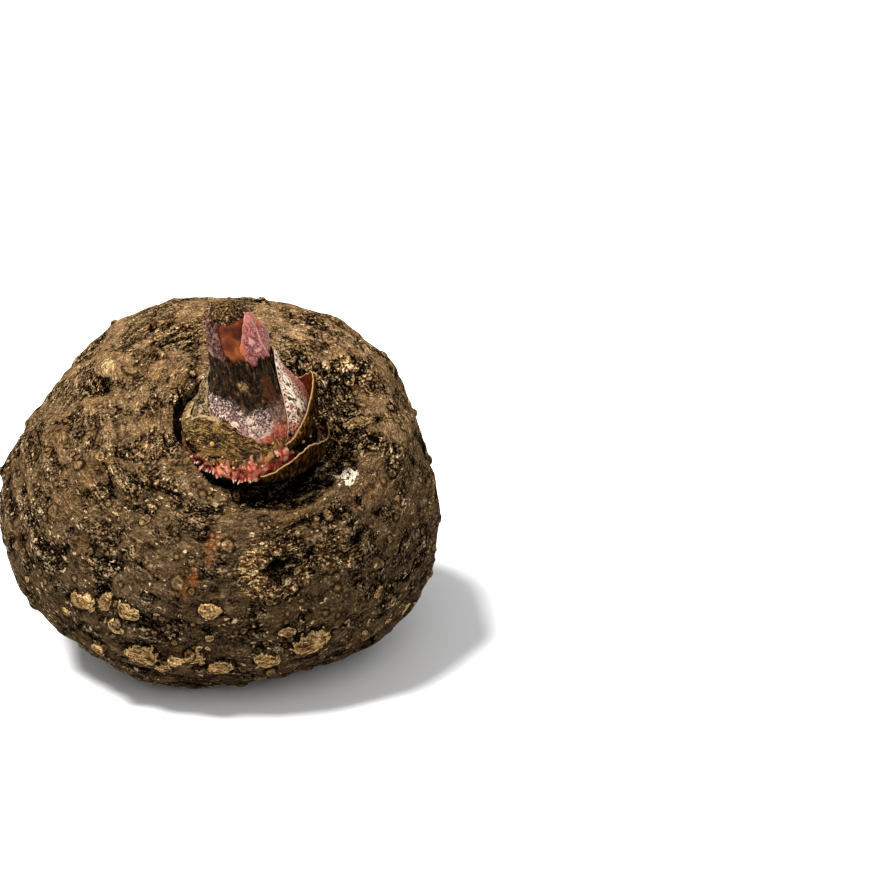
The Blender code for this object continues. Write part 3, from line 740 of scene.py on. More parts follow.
class Look:
    """A material built from nodes, with one short call for each step."""

    def __init__(self, name):
        self.material = bpy.data.materials.new(name)
        self.material.use_nodes = True
        self.tree = self.material.node_tree
        self.shader = self.tree.nodes["Principled BSDF"]
        whole = self.node("ShaderNodeTexCoord").outputs["Object"]
        self.place = self.stretch(whole, (1 / MM,) * 3)

    def node(self, kind, **settings):
        made = self.tree.nodes.new(kind)
        for name, value in settings.items():
            setattr(made, name, value)
        return made

    def put(self, socket, value):
        """Link a value to a socket, or set it there where it is plain."""
        if isinstance(value, Value):
            value = value.socket
        if isinstance(value, bpy.types.NodeSocket):
            self.tree.links.new(value, socket)
        elif isinstance(value, tuple) and socket.type == "RGBA":
            socket.default_value = (*linear(value), 1)
        else:
            socket.default_value = value

    def math(self, operation, first, second=0.0):
        made = self.node("ShaderNodeMath", operation=operation)
        self.put(made.inputs[0], first)
        self.put(made.inputs[1], second)
        return Value(self, made.outputs[0])

    def stretch(self, vector, scale):
        """The vector with each part multiplied."""
        made = self.node("ShaderNodeVectorMath", operation="MULTIPLY")
        self.put(made.inputs[0], vector)
        made.inputs[1].default_value = scale
        return made.outputs[0]

    def shift(self, vector, seed):
        """The vector moved to another part of the endless noise."""
        made = self.node("ShaderNodeVectorMath", operation="ADD")
        self.put(made.inputs[0], vector)
        made.inputs[1].default_value = (seed * 17.3, seed * 31.7, seed * 11.9)
        return made.outputs[0]

    def mask(self, name):
        """A number kept on each point of the mesh."""
        return Value(self, self.node("ShaderNodeAttribute", attribute_name=name).outputs["Fac"])

    def vector(self, name):
        """A vector kept on each point of the mesh."""
        return self.node("ShaderNodeAttribute", attribute_name=name).outputs["Vector"]

    def noise(self, size, seed=0, detail=2.0, rough=0.55, twist=0.0, along=None, place=None):
        """Soft lumps of a size in mm, longer where along gives a fourth way to change."""
        made = self.node("ShaderNodeTexNoise", noise_dimensions="3D" if along is None else "4D")
        self.put(made.inputs["Vector"], self.shift(self.place if place is None else place, seed * size))
        if along is not None:
            self.put(made.inputs["W"], along)
        made.inputs["Scale"].default_value = 1 / size
        made.inputs["Detail"].default_value = detail
        made.inputs["Roughness"].default_value = rough
        made.inputs["Distortion"].default_value = twist
        return Value(self, made.outputs["Fac"])

    def worms(self, lumps, sharp):
        """Noise turned into winding lines: 0 along each line, and 1 well away from it."""
        return self.math("MINIMUM", abs(lumps - 0.5) * (2 * sharp), 1.0)

    def domes(self, size, seed, radius, rare):
        """Round lumps in some of the cells of a size in mm: their tops and the grooves round them."""
        made = self.node("ShaderNodeTexVoronoi")
        self.put(made.inputs["Vector"], self.shift(self.place, seed * size))
        made.inputs["Scale"].default_value = 1 / size
        draws = self.node("ShaderNodeSeparateColor")
        self.put(draws.inputs[0], made.outputs["Color"])
        chance, width = Value(self, draws.outputs[0]), Value(self, draws.outputs[1])
        kept = self.step(chance, rare, rare + 0.05)
        reach = self.scale(width, 0.6, 1.3) * (radius / size)
        uneven = (self.noise(1.6, seed + 1, 2) - 0.5) * 0.9
        far = Value(self, made.outputs["Distance"]) / reach + uneven
        return self.step(far, 1.0, 0.4) * kept, self.step(abs(far - 1.25), 0.4, 0.15) * kept

    def step(self, value, start, end):
        """0 before start, 1 past end, and an S curve between."""
        made = self.node("ShaderNodeMapRange", interpolation_type="SMOOTHSTEP")
        self.put(made.inputs["Value"], value)
        made.inputs["From Min"].default_value = start
        made.inputs["From Max"].default_value = end
        return Value(self, made.outputs[0])

    def scale(self, value, low, high):
        """A share from 0 to 1 as a number from low to high."""
        return value * (high - low) + low

    def zone(self, name, size=2.0, wild=0.9):
        """One of the masks, with a torn outline."""
        torn = (self.noise(size, 9, 3, 0.6, 0.3) - 0.5) * wild
        return self.step(self.mask(name) + torn, 0.42, 0.58)

    def flecks(self, size, share, seed):
        """Irregular flecks, more of them where share is higher."""
        return self.step(self.noise(size, seed, 2, 0.6, 0.4) + (share - 0.5) * 0.3, 0.55, 0.59)

    def strands(self, size, seed, tall, twist=0.3, detail=3, rough=0.65):
        """Noise drawn out up a scale of the shoot."""
        place = self.stretch(self.vector("local"), (1, 1, tall))
        return self.noise(size, seed, detail, rough, twist, place=place)

    def patch(self, colour, name, size, wild, share, over):
        """The colour with another over it at one of the masks, in a torn outline."""
        return self.mix(self.zone(name, size, wild) * share, colour, over)

    def fleck(self, colour, size, share, seed, strength, over):
        """The colour with irregular flecks of another over it."""
        return self.mix(self.flecks(size, share, seed) * strength, colour, over)

    def mix(self, share, first, second, blend="MIX"):
        """The first colour, and the second where share is 1."""
        made = self.node("ShaderNodeMix", data_type="RGBA", blend_type=blend)
        self.put(made.inputs[0], share)
        self.put(made.inputs[6], first)
        self.put(made.inputs[7], second)
        return made.outputs[2]

    def tint(self, colour, by, share=1.0):
        """The colour multiplied by another, where share is 1."""
        return self.mix(share, colour, by, "MULTIPLY")

    def ramp(self, share, stops):
        """A colour for each share, from stops of a place and a colour."""
        made = self.node("ShaderNodeValToRGB")
        self.put(made.inputs[0], share)
        ramp = made.color_ramp
        while len(ramp.elements) < len(stops):
            ramp.elements.new(0.5)
        for element, (place, colour) in zip(ramp.elements, stops):
            element.position = place
            element.color = (*linear(colour), 1)
        return made.outputs[0]

    def finish(self, colour, roughness, height, depth, gloss):
        """Set the shader: colour, roughness, gloss, and a bump whose depth is in mm."""
        bump = self.node("ShaderNodeBump")
        bump.inputs["Distance"].default_value = depth * MM
        self.put(bump.inputs["Height"], height)
        self.put(self.shader.inputs["Base Color"], colour)
        self.put(self.shader.inputs["Roughness"], roughness)
        self.put(self.shader.inputs["Specular IOR Level"], gloss)
        self.put(self.shader.inputs["Normal"], bump.outputs[0])
        return self.material


def make_piece(name, points, faces, masks, look, node=None):
    """A smooth mesh object with its masks, riding on the body and painted."""
    data = bpy.data.meshes.new(name)
    data.from_pydata(points.reshape(-1, 3).tolist(), [], faces)
    for label, values in masks.items():
        kind, slot = ("FLOAT", "value") if values.ndim == 1 else ("FLOAT_VECTOR", "vector")
        layer = data.attributes.new(label, kind, "POINT")
        layer.data.foreach_set(slot, values.astype(np.float32).ravel())
    data.materials.append(look)
    data.shade_smooth()
    thing = bpy.data.objects.new(name, data)
    bpy.context.scene.collection.objects.link(thing)
    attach(thing, "root")
    if node:
        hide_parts(node)
    return thing


def corner_groups(corners):
    """The twenty triangles between the twelve corners of the coarse sphere, facing out."""
    for face in combinations(range(12), 3):
        a, b, c = corners[list(face)]
        if max(np.linalg.norm(a - b), np.linalg.norm(b - c), np.linalg.norm(c - a)) < 2.1:
            outward = np.dot(np.cross(b - a, c - a), a) > 0
            yield np.array((a, b, c) if outward else (a, c, b))


def geodesic(frequency):
    """Directions and triangles of a sphere of small and nearly even triangles."""
    golden = (1 + math.sqrt(5)) / 2
    corners = [(0, a, b * golden) for a, b in product((-1, 1), repeat=2)]
    corners += [(a, b * golden, 0) for a, b in product((-1, 1), repeat=2)]
    corners += [(b * golden, 0, a) for a, b in product((-1, 1), repeat=2)]
    cells = [(i, j) for i in range(frequency + 1) for j in range(frequency + 1 - i)]
    place = {cell: index for index, cell in enumerate(cells)}
    weights = np.array([(frequency - i - j, i, j) for i, j in cells]) / frequency
    small = [(place[i, j], place[i + 1, j], place[i, j + 1]) for i, j in cells if i + j < frequency]
    small += [(place[i + 1, j], place[i + 1, j + 1], place[i, j + 1]) for i, j in cells
              if i + j < frequency - 1]
    points, faces = [], []
    for count, triangle in enumerate(corner_groups(np.array(corners, float))):
        points.append(weights @ triangle)
        faces.append(np.array(small) + count * len(cells))
    points, faces = unit(np.concatenate(points)), np.concatenate(faces)
    rounded = np.round(points * 1e6).astype(np.int64)
    first, same = np.unique(rounded, axis=0, return_index=True, return_inverse=True)[1:]
    return points[first], same.ravel()[faces]


def normals_of(points, faces):
    """The outward direction at each point of a mesh of triangles."""
    corners = points[faces]
    flat = np.cross(corners[:, 1] - corners[:, 0], corners[:, 2] - corners[:, 0])
    total = np.zeros_like(points)
    for corner in range(3):
        np.add.at(total, faces[:, corner], flat)
    return unit(total)


def blurred(values, faces, rounds):
    """Values averaged with their neighbours, several times over."""
    count = np.bincount(faces.ravel(), minlength=len(values))
    for _ in range(rounds):
        total = np.bincount(faces.ravel(), values[faces].sum(axis=1).repeat(3), len(values))
        values = total / (3 * count)
    return values


def fractal(points, size, seed, octaves=3):
    """Rough lumps from about -1 to 1, the largest of a size in mm."""
    total, strength = np.zeros(points.shape[:-1]), 1.0
    for octave in range(octaves):
        total += strength * noise(points / (size * MM) * 2 ** octave, seed + octave)
        strength *= 0.5
    return total / (2 - 2 * strength)


def ring_distance(ways):
    """Distance over the bark from the rings' pole, in mm, with slow waves."""
    polar = np.arccos(np.clip(ways @ aim(*RING_POLE), -1, 1))
    return polar * CORM_RADIUS / MM + 6 * noise(ways * 2.2, 3) + 2.5 * noise(ways * 6, 21)


def stretched(points, rings, across, along, seed):
    """Noise drawn out along the growth rings: its width and length in mm."""
    cells = np.stack((rings / across, points[:, 0] / MM / along + seed, points[:, 2] / MM / along), axis=1)
    return noise(cells, seed)


def ovals(ways, places, start=0.3, end=1.3):
    """The strength of some ovals on the bark, falling to 0 round them."""
    share = np.zeros(len(ways))
    for place, long, short, turn, strength in places:
        share = np.maximum(share, strength * (1 - smooth(spot(ways, place, long, short, turn), start, end)))
    return share


def small_patches():
    """Places of the small patches: most of them on the lower half."""
    draw = random.Random(PATCH_SEED)
    for _ in range(SMALL_PATCHES):
        elevation = draw.triangular(-85, 35, -28)
        radius = draw.uniform(1.3, 3.2) * (1 if draw.random() < 0.8 else 1.7)
        azimuth = draw.uniform(-180, 180)
        yield azimuth, elevation, radius, radius * draw.uniform(0.5, 0.85), draw.uniform(-50, 50)


def patch_distance(ways):
    """Distance from the nearest dry patch's middle, 1 along its uneven outline."""
    nearest = np.full(len(ways), 9.0)
    wave = 0.2 * noise(ways * 26, 31) + 0.1 * noise(ways * 60, 32)
    for azimuth, elevation, long, short, turn in [*PATCHES, *small_patches()]:
        nearest = np.minimum(nearest, spot(ways, (azimuth, elevation), long, short, turn) + wave)
    return nearest


def wart_places():
    """Direction, radius in mm and strength of every wart: the swellings, and many small ones."""
    for azimuth, elevation, radius, rise in wart_draws():
        yield aim(azimuth, elevation), 0.55 * radius, rise - 0.9
    draw = random.Random(SMALL_WART_SEED)
    for _ in range(SMALL_WARTS):
        way = aim(draw.uniform(-180, 180), math.degrees(math.asin(draw.uniform(-0.95, 0.8))))
        yield way, draw.uniform(0.8, 1.7), draw.uniform(0.3, 1.0)


def wart_field(ways):
    """Distance from the nearest wart's middle, in its own radii, and its strength."""
    nearest, strength = np.full(len(ways), 9.0), np.zeros(len(ways))
    for way, radius, shows in wart_places():
        far = np.linalg.norm(ways - way, axis=1) * CORM_RADIUS / MM / radius
        strength = np.where(far < nearest, shows, strength)
        nearest = np.minimum(nearest, far)
    return nearest, strength


def scars(ways):
    """The hollows, painted dark as shade, and the crusted rims of the larger scars, each from 0 to 1."""
    hollow, rim = np.zeros(len(ways)), np.zeros(len(ways))
    for azimuth, elevation, radius, _, depth in RINGS:
        far = spot(ways, (azimuth, elevation), radius, radius * 0.8) + 0.2 * noise(ways * 24, 5)
        hollow = np.maximum(hollow, np.exp(-(far / 0.66) ** 4) * min(1, depth / 3.5))
        wide = spot(ways, (azimuth - 3, elevation), radius * 1.25, radius * 0.9)
        wide += 0.25 * noise(ways * 30, 6)
        rim = np.maximum(rim, (1 - smooth(np.abs(wide - 0.68), 0.25, 0.5)) * min(1, radius / 10))
    return hollow, rim


def pit_masks(ways):
    """The crevice round the shoot, the pit's whole floor, and the front of it, each from 0 to 1."""
    far, theta = seat_view(ways)[1:]
    facing = smooth(ways @ UP, 0.12, 0.3)
    foot, edge = lip_radii(theta)
    wide = np.maximum(edge, around(theta, 40, 54, 44, 30) * MM)
    crevice = facing * (1 - smooth(far, foot - 0.5 * MM, foot + 1.5 * MM))
    floor = facing * (1 - smooth(far, wide - 3 * MM, wide + 1.5 * MM))
    return crevice, floor, window(theta, -85, 45, 25)


def gritty_mask(points, ways, floor):
    """Where the bark is coarse: patches of the front, round the scars, and in the pit."""
    gritty = 0.5 * smooth(fractal(points, 14, 40), 0.1, 0.45) * smooth(ways @ aim(-40, 60), -0.3, 0.6)
    gritty = np.maximum(gritty, ovals(ways, GRITTY_GROUND, 0.5, 1.3))
    return np.maximum(gritty, 0.6 * floor)


def bark_waves(points, ways, rings):
    """Strands, lumps, steps, folds and creases of the bark along its growth rings, in mm."""
    height = 0.65 * stretched(points, rings, 3.2, 8, 50) + 0.85 * fractal(points, 8, 60, 2)
    folds = (1 - np.abs(stretched(points, rings, 6, 20, 81))) ** 3 - 0.4
    height += 1.1 * folds * smooth(fractal(points, 30, 95), -0.2, 0.5)
    creases = np.exp(-(stretched(points, rings, 5.5, 22, 80) / 0.06) ** 2)
    return height - 1.2 * creases * smooth(fractal(points, 24, 90), 0.0, 0.4)


def cracks(ways):
    """Depth of the long cracks of the bark, in mm."""
    depth = np.zeros(len(ways))
    for azimuth, elevation, long, short, turn in CRACKS:
        reach = spot(ways, (azimuth, elevation), long, long)
        line = spot(ways, (azimuth, elevation), 400, short, turn) + 0.5 * noise(ways * 14, 33)
        depth += 1.3 * np.exp(-line ** 2) * (1 - smooth(reach, 0.6, 1))
    return depth


def corm_relief(points, ways, rings):
    """Fine relief of the bark along its normals, and the masks that paint it."""
    crevice, floor, front = pit_masks(ways)
    gritty = gritty_mask(points, ways, floor)
    patch = patch_distance(ways)
    wart, strength = wart_field(ways)
    scar, crust = scars(ways)
    inside = 1 - smooth(patch, 0.85, 1.05)
    height = bark_waves(points, ways, rings) * (1 - 0.7 * inside)
    waves = np.sin(rings * 0.42 + 2.5 * noise(ways * 3.1, 82))
    height += 0.5 * waves * smooth(noise(ways * 2.6, 83), -0.3, 0.5)
    lumps = noise(points / (2.9 * MM), 70)
    pits = np.clip(-noise(points / (3.4 * MM), 71) - 0.1, 0, 1)
    height += (0.1 + gritty) * (0.8 * np.abs(lumps) - 1.5 * pits) - cracks(ways)
    height += 0.55 * inside - 0.45 * np.exp(-((patch - 1.2) / 0.15) ** 2)
    height += strength * (0.8 * np.exp(-(wart / 0.9) ** 4) - 0.3 * np.exp(-((wart - 1.35) / 0.25) ** 2))
    height += 0.3 * inside * stretched(points, rings, 1.4, 7, 51)
    stem = np.exp(-spot(ways, KNOB_PLACE, 10, 5.5, KNOB_TURN) ** 4)
    height += stem * (2.6 + 0.6 * stretched(points, rings, 1.6, 9, 52) - 0.7 * height)
    height += 2.2 * crust * np.abs(lumps) - scar * (1.2 + 2.2 * np.clip(lumps, -0.5, 1))
    return height * MM, {
        "gritty": gritty,
        "patch": patch,
        "wart": wart,
        "wart_strength": strength,
        "scar": scar,
        "crust": crust,
        # painted shade in the crevice and over the pit's floor, strongest at its front
        "shade": np.maximum(crevice, floor * (0.35 + 0.55 * front)),
        # brighter towards the top: painted top light and paler dusty bark
        "high": smooth(points[:, 2], 45 * MM, 165 * MM),
        "rust": ovals(ways, RUST_STREAKS),
        "lichen": ovals(ways, LICHEN_SPOTS),
        "knob": ovals(ways, KNOB_SPOTS, 0.5, 1.1),
        "hollow": ovals(ways, KNOB_HOLLOWS, 0.4),
    }


def bark_grains(look):
    """The grains of the bark that its colour and its bump share."""
    rings, gritty = look.mask("rings"), look.mask("gritty")
    drawn = look.stretch(look.place, (0.4,) * 3)
    worms = look.worms(look.noise(3.2, 1, 3, 0.55, 0.4, rings * 1.3, drawn), 3.6)
    small = look.worms(look.noise(1.8, 2, 1.5, 0.5, 0.5, rings * 0.8, drawn), 3.6)
    fine = look.noise(0.95, 12, 2, 0.6, 0.3)
    lumps = look.noise(3.6, 3, 3, 0.62, 0.8)
    flakes = look.noise(1.5, 7, 1, 0.5, 0.4, rings * 0.7, look.stretch(look.place, (0.6,) * 3))
    streaks = look.noise(1.0, 6, 2, 0.6, 0.0, rings * (1 / 0.9), look.stretch(look.place, (0.25,) * 3))
    mud = look.step(look.noise(13, 5, 3, 0.55, 0.5), 0.38, 0.53) * look.step(gritty, 0.5, 0.1)
    body = 0.18 * worms + 0.24 * small + 0.24 * (lumps - 0.5) + 1.4 * fine
    # darker in the relief's hollows and lighter on its peaks: painted shade and painted light
    body = body + 0.12 * look.mask("cavity_shade") - 0.59
    calm = (body - GRAIN_MIDDLE) * look.scale(mud, 1.6, 0.55)
    harsh = calm * look.scale(gritty, 1.0, 1.5) + GRAIN_MIDDLE
    # painted highlights: small pale glinting flecks
    glint_flecks = look.step(flakes, 0.635, 0.665) * look.step(look.noise(9, 8, 3, 0.6), 0.44, 0.58)
    return SimpleNamespace(gritty=gritty, worms=worms, small=small, fine=fine, lumps=lumps, flakes=flakes,
                           streaks=streaks, mud=mud, harsh=harsh, glint_flecks=glint_flecks)


def bark_ground(look, grain):
    """Colour of the bare bark, with its small round lumps, and their height."""
    colour = look.ramp(grain.harsh, BARK_GRAIN)
    broad = look.step(look.noise(30, 4, 3, 0.55), 0.35, 0.65)
    colour = look.tint(colour, BROAD_TINT, 0.5 * broad)
    golden = look.step(look.noise(17, 21, 3, 0.6), 0.52, 0.68)
    colour = look.tint(colour, GOLDEN_TINT, 0.35 * golden)
    # painted top light with paler dusty bark higher up, painted shade with greyer bark lower down
    colour = look.mix(look.mask("high"), look.tint(colour, LOW_SHADE_AND_GREY_TINT), look.tint(colour, TOP_LIGHT_AND_DUST_TINT))
    dome, groove = look.domes(5.0, 9, 1.25, 0.5)
    colour = look.mix(0.4 * dome, colour, PATCH_TAN)
    # painted shade in the grooves round the domes
    colour = look.mix(0.6 * groove, colour, BARK_GAP_SHADE)
    # painted highlights on the flecks, most of them on the coarse bark
    colour = look.mix(grain.glint_flecks * look.scale(grain.gritty, 0.7, 0.95), colour, BARK_HIGHLIGHT)
    return colour, 1.1 * dome - 0.5 * groove


def bark_patches(look, grain, colour):
    """The dry patches: flaking tan rings with a painted highlight on their pale lip and a painted shadow
    round them.
    """
    edge = look.mask("patch") + (grain.lumps - 0.5) * 1.5
    contour = look.math("SINE", edge * 17.0)
    tan = look.ramp(grain.streaks, PATCH_GRAIN)
    tan = look.mix(0.85 * look.step(contour, -0.4, -0.8), tan, PATCH_CRACK)
    dry = look.step(edge, 1.02, 0.9)
    colour = look.mix(0.85 * dry, colour, tan)
    # painted highlight along the patch's lip
    lip = look.step(edge, 0.72, 0.86) * dry
    colour = look.mix(0.45 * lip, colour, PATCH_PALE)
    # painted shadow round the patch's edge
    shadow = look.step(edge, 1.35, 1.08) * look.step(edge, 0.95, 1.02)
    colour = look.mix(0.55 * shadow, colour, BARK_GAP_SHADE)
    return colour, 0.4 * dry - 0.24 * shadow + 1.2 * grain.streaks * dry


def bark_warts(look, grain, colour):
    """The warts: a tan ring with painted shade in the moat round it, and a dimple."""
    strength = look.mask("wart_strength")
    wart = look.mask("wart") + (grain.lumps - 0.5) * 0.5
    ring = look.step(abs(wart - 0.75), 0.32, 0.08)
    colour = look.mix(0.34 * ring * strength, colour, PATCH_TAN)
    # painted shade in the wart's moat
    moat = look.step(abs(wart - 1.3), 0.3, 0.1)
    colour = look.mix(0.7 * moat * strength, colour, BARK_GAP_SHADE)
    dimple = look.step(wart, 0.4, 0.15)
    colour = look.mix(0.5 * dimple * strength, colour, PATCH_CRACK)
    return colour, 0.6 * (ring - moat) * strength


def bark_marks(look, grain, colour):
    """The streaked knob, rust, the scars' crusts, painted shade in the scars' hollows, under the knob and
    in the pit, and the lichen.
    """
    knob = look.step(look.mask("knob") + (grain.lumps - 0.5) * 0.9, 0.35, 0.75)
    colour = look.mix(0.75 * knob, colour, look.ramp(grain.streaks, KNOB_GRAIN))
    # painted shade in the hollow under the knob
    hollow = look.mask("hollow") * look.step(grain.small, 0.9, 0.3)
    colour = look.mix(0.9 * hollow, colour, BARK_GAP_SHADE)
    rust = look.mask("rust") * look.step(grain.lumps, 0.35, 0.6)
    colour = look.mix(0.7 * rust, colour, RUST)
    crust = look.mask("crust") * look.step(grain.lumps, 0.36, 0.5)
    crumbs = look.ramp(0.7 * grain.fine + 0.2 * grain.small, CRUMB_GRAIN)
    colour = look.mix(0.85 * crust, colour, crumbs)
    # painted shade in the scars' hollows
    scar = look.mask("scar") * look.step(grain.lumps + 0.1 * grain.small, 0.74, 0.56)
    colour = look.mix(0.9 * scar, colour, BARK_GAP_SHADE)
    # painted shade over the pit's floor and crevice
    colour = look.tint(colour, SHADE_TINT, 0.92 * look.mask("shade"))
    lichen = look.step(look.mask("lichen") * 0.6 + (grain.flakes - 0.5) * 2.2, 0.42, 0.56)
    return look.mix(0.85 * lichen * look.step(look.mask("lichen"), 0.1, 0.4), colour, LICHEN)


def paint_bark():
    """Bark: wormy grain with painted shade in its gaps and painted highlights on its ridges, dry patches,
    rust, lichen and painted shade in the pit.
    """
    look = Look("bark")
    grain = bark_grains(look)
    colour, domes = bark_ground(look, grain)
    colour, patches = bark_patches(look, grain, colour)
    colour, warts_rise = bark_warts(look, grain, colour)
    colour = bark_marks(look, grain, colour)
    height = 0.6 * (grain.worms + grain.small) + 2.4 * grain.lumps + 1.7 * grain.fine
    height = (height + 0.8 * grain.glint_flecks) * look.scale(grain.mud, 1.25, 0.55)
    height = height + domes + patches + warts_rise
    ridges = look.step(grain.harsh, 0.5, 0.8)
    return look.finish(colour, look.scale(ridges, 0.75, 0.42), height, 2.4, 0.42 * ridges)


def build_corm():
    """The corm on its fine sphere, with the relief of the bark along its normals."""
    ways, faces = geodesic(GEODESIC)
    points = corm_points(ways)
    outward = normals_of(points, faces)
    rings = ring_distance(ways)
    height, masks = corm_relief(points, ways, rings)
    masks["rings"] = rings
    # painted shade in the relief's hollows and painted light on its peaks: height less its blur
    masks["cavity_shade"] = np.clip((height - blurred(height, faces, 12)) / (0.35 * MM), -1.5, 1.5)
    low = smooth(points[:, 2], 0, 3 * MM)
    points = points + outward * (height * (0.15 + 0.85 * low))[:, None]
    points[:, 2] = np.maximum(points[:, 2], 0)
    make_piece("corm_bark", points, faces.tolist(), masks, paint_bark(), "corm")


# Colours of the shoot, in the 0 to 255 steps of a screen, and the tones that dull them
TONE = (186, 174, 154)
# Brighter tone of the right scale: painted light, as it faces away from the key lamp
SIDE_LIT_TONE = (232, 218, 198)
BULB_TONE = (212, 198, 178)
LILAC = (212, 178, 178)
PALE_PINK = (240, 214, 206)
SALMON = (224, 108, 84)
CREAM = (238, 216, 204)
FLECK = (22, 11, 11)
NECK = (38, 28, 18)
NECK_GAP = (8, 5, 3)
# Painted shade of small crevices, laid down as dark flecks
CREVICE_SHADE = (12, 8, 5)
BUD = (186, 144, 66)

# Colours along the grain of each part of the shoot
CORE_GRAIN = ((0.36, (78, 34, 18)), (0.5, (128, 63, 32)), (0.64, (190, 110, 62)))
CAP_GRAIN = ((0.4, NECK_GAP), (0.48, (52, 36, 21)), (0.56, (106, 78, 47)), (0.66, (206, 176, 132)))
TIP_GRAIN = ((0.34, (134, 66, 80)), (0.5, (186, 114, 122)), (0.66, (224, 170, 168)))
BULB_GRAIN = ((0.33, (124, 84, 92)), (0.47, LILAC), (0.58, PALE_PINK), (0.68, (255, 250, 240)))
RED_GRAIN = ((0.36, (140, 46, 30)), (0.5, SALMON), (0.64, (240, 156, 126)))
BROWN_GRAIN = ((0.36, (34, 20, 13)), (0.5, (106, 66, 46)), (0.66, (176, 132, 98)))
NECK_GRAIN = ((0.38, NECK_GAP), (0.48, NECK), (0.58, (66, 49, 31)), (0.69, (134, 108, 74)))
FLAP_GRAIN = ((0.36, (74, 46, 46)), (0.5, (118, 82, 82)), (0.64, (176, 140, 136)))
SIDE_GRAIN = ((0.34, (136, 96, 92)), (0.48, (216, 184, 174)), (0.6, (255, 244, 232)))
OLIVE_GRAIN = ((0.39, (14, 9, 4)), (0.46, (62, 46, 26)), (0.53, (114, 88, 52)), (0.63, (214, 178, 116)))
PAPER_GRAIN = ((0.33, (40, 27, 13)), (0.48, (98, 68, 34)), (0.6, (132, 96, 50)), (0.7, (184, 142, 84)))
PAPER_INSIDE = ((0.34, (82, 34, 22)), (0.55, (128, 58, 38)), (0.7, (160, 88, 56)))
FRILL_PINK = (246, 160, 138)
FRILL_GRAIN = ((0.34, (116, 38, 30)), (0.47, (190, 84, 68)), (0.59, FRILL_PINK), (0.68, (255, 216, 202)))
BUD_GRAIN = ((0.25, (18, 10, 5)), (0.45, (112, 72, 28)), (0.66, BUD), (0.95, (218, 188, 112)))
POINT_GRAIN = ((0.0, (176, 74, 62)), (0.35, (222, 140, 122)), (0.8, (250, 232, 220)))

# Root buds: turn, height and radius in mm on each scale
ROOT_BUDS = {
    "sheath": ((9.5, 17.3, 0.9), (27.6, 13.1, 1.3), (38.4, 13.5, 1.0), (39.4, 20.6, 0.9), (22, 21, 0.6),
               (-140, 14, 1.0), (160, 16, 1.1)),
    "side_scale": ((50.9, 15.1, 1.0), (64.8, 23.1, 1.1)),
    "outer_collar": ((-33, 13.1, 1.6), (-47, 12, 0.9), (-40, 10.6, 0.9), (-22, 8.6, 0.8), (-9, 8.4, 0.8),
                     (3, 8.4, 0.9), (-60, 9, 0.9), (-90, 8, 1.0), (-150, 9, 1.0)),
    "frill": ((13.1, 7.6, 1.1), (-10, 6.2, 1.0), (25.5, 12.0, 0.8), (-34, 6.6, 0.8), (-27.6, 5.5, 0.6),
              (-19, 5.8, 0.7), (-3, 7.2, 0.6), (8, 9.0, 0.6), (150, 2.4, 0.9), (-120, 2.4, 0.9)),
    "curled_scale": ((54, 12.4, 1.1), (65, 12, 0.9), (71.6, 19.5, 0.6), (76.9, 14.7, 0.6), (75, 17, 0.6)),
}

# Fine points of the frill, and the grid of one bud or point
SPIKES = 20
SPIKE_SEED = 3
KNOB_COLUMNS = 10
KNOB_ROWS = 9

# Crease of the tip scale, through turns and heights, and the radius it is drawn at in mm
CREASE = ((65, 64), (62, 61), (53, 58), (56, 54), (76, 46))
CREASE_RADIUS = 11.5

# Marks on the scales: turn, height, and half width in degrees and half height in mm
TIP_MARKS = {
    "cream": ((38, 57.5, 6, 1.9), (47, 53, 8, 1.1)),
    "orange": ((92, 62, 24, 3.6), (14, 53, 10, 5)),
    "pink": ((70, 53, 60, 12),),
}
SHEATH_MARKS = {
    "cream": ((-15, 21.4, 6, 1.5), (4.4, 24, 5, 1.7), (2.3, 37.8, 7, 2.6)),
    "pink": ((-15, 25.5, 9, 5), (-4, 20, 8, 3)),
    "salmon": ((42, 14, 20, 9), (24, 12, 18, 6), (54, 9, 12, 9), (4, 11, 16, 3)),
    "fibrous": ((46, 26, 18, 8), (36, 33, 12, 6)),
    "warm": ((44, 35, 14, 7),),
    "wart": ((2.3, 37.8, 9, 2.8),),
    "pale_edge": ((-100, 48, 16, 12), (-60, 48, 12, 3.5)),
}
SIDE_MARKS = {
    "cream": ((76, 34, 9, 4), (69, 28, 8, 3.4), (75, 24, 9, 3), (74, 42, 6, 3.5)),
    "pink": ((100, 30, 16, 14), (92, 18, 16, 7)),
    "salmon": ((52, 12, 14, 9), (64, 15, 12, 6)),
}
STRAW = ((-35, 19.5, 6, 1.4), (-84, 8, 16, 4), (-30, 9, 20, 2))
CAP_SIDE = ((-42, 64, 16, 3),)

# Dry scales: least thickness, thickness of the torn edge, and how far down it thins in mm
LEAST = 0.35 * MM
EDGE = 0.3 * MM
THINNING = 1.6

# Radius in mm at which the fibres of the olive scales are laid out
FIBRE_RADIUS = 28

# Grid of the core: columns, rows of its smooth foot and of its upper part, and where those meet
CORE_COLUMNS = 150
FOOT_ROWS = 40
HEAD_ROWS = 130
HEAD_START = 46 * MM
CORE_POINT = 67.8 * MM

SHAPES = {
    "tip_scale": tip_scale_shape(),
    "sheath": sheath_shape(),
    "side_scale": side_scale_shape(),
    "left_scale": left_scale_shape(),
    "outer_collar": collar_shape(),
    "curled_scale": curled_scale_shape(),
    "frill": frill_shape(),
    "right_rim": right_rim_shape(),
}


def grain(theta, height, wide, tall, seed, radius=22):
    """Noise over a scale, in lumps of a width and a height in mm."""
    around_it = radius / wide
    cells = np.stack((np.sin(theta) * around_it, np.cos(theta) * around_it, height / MM / tall), axis=-1)
    return noise(cells, seed)


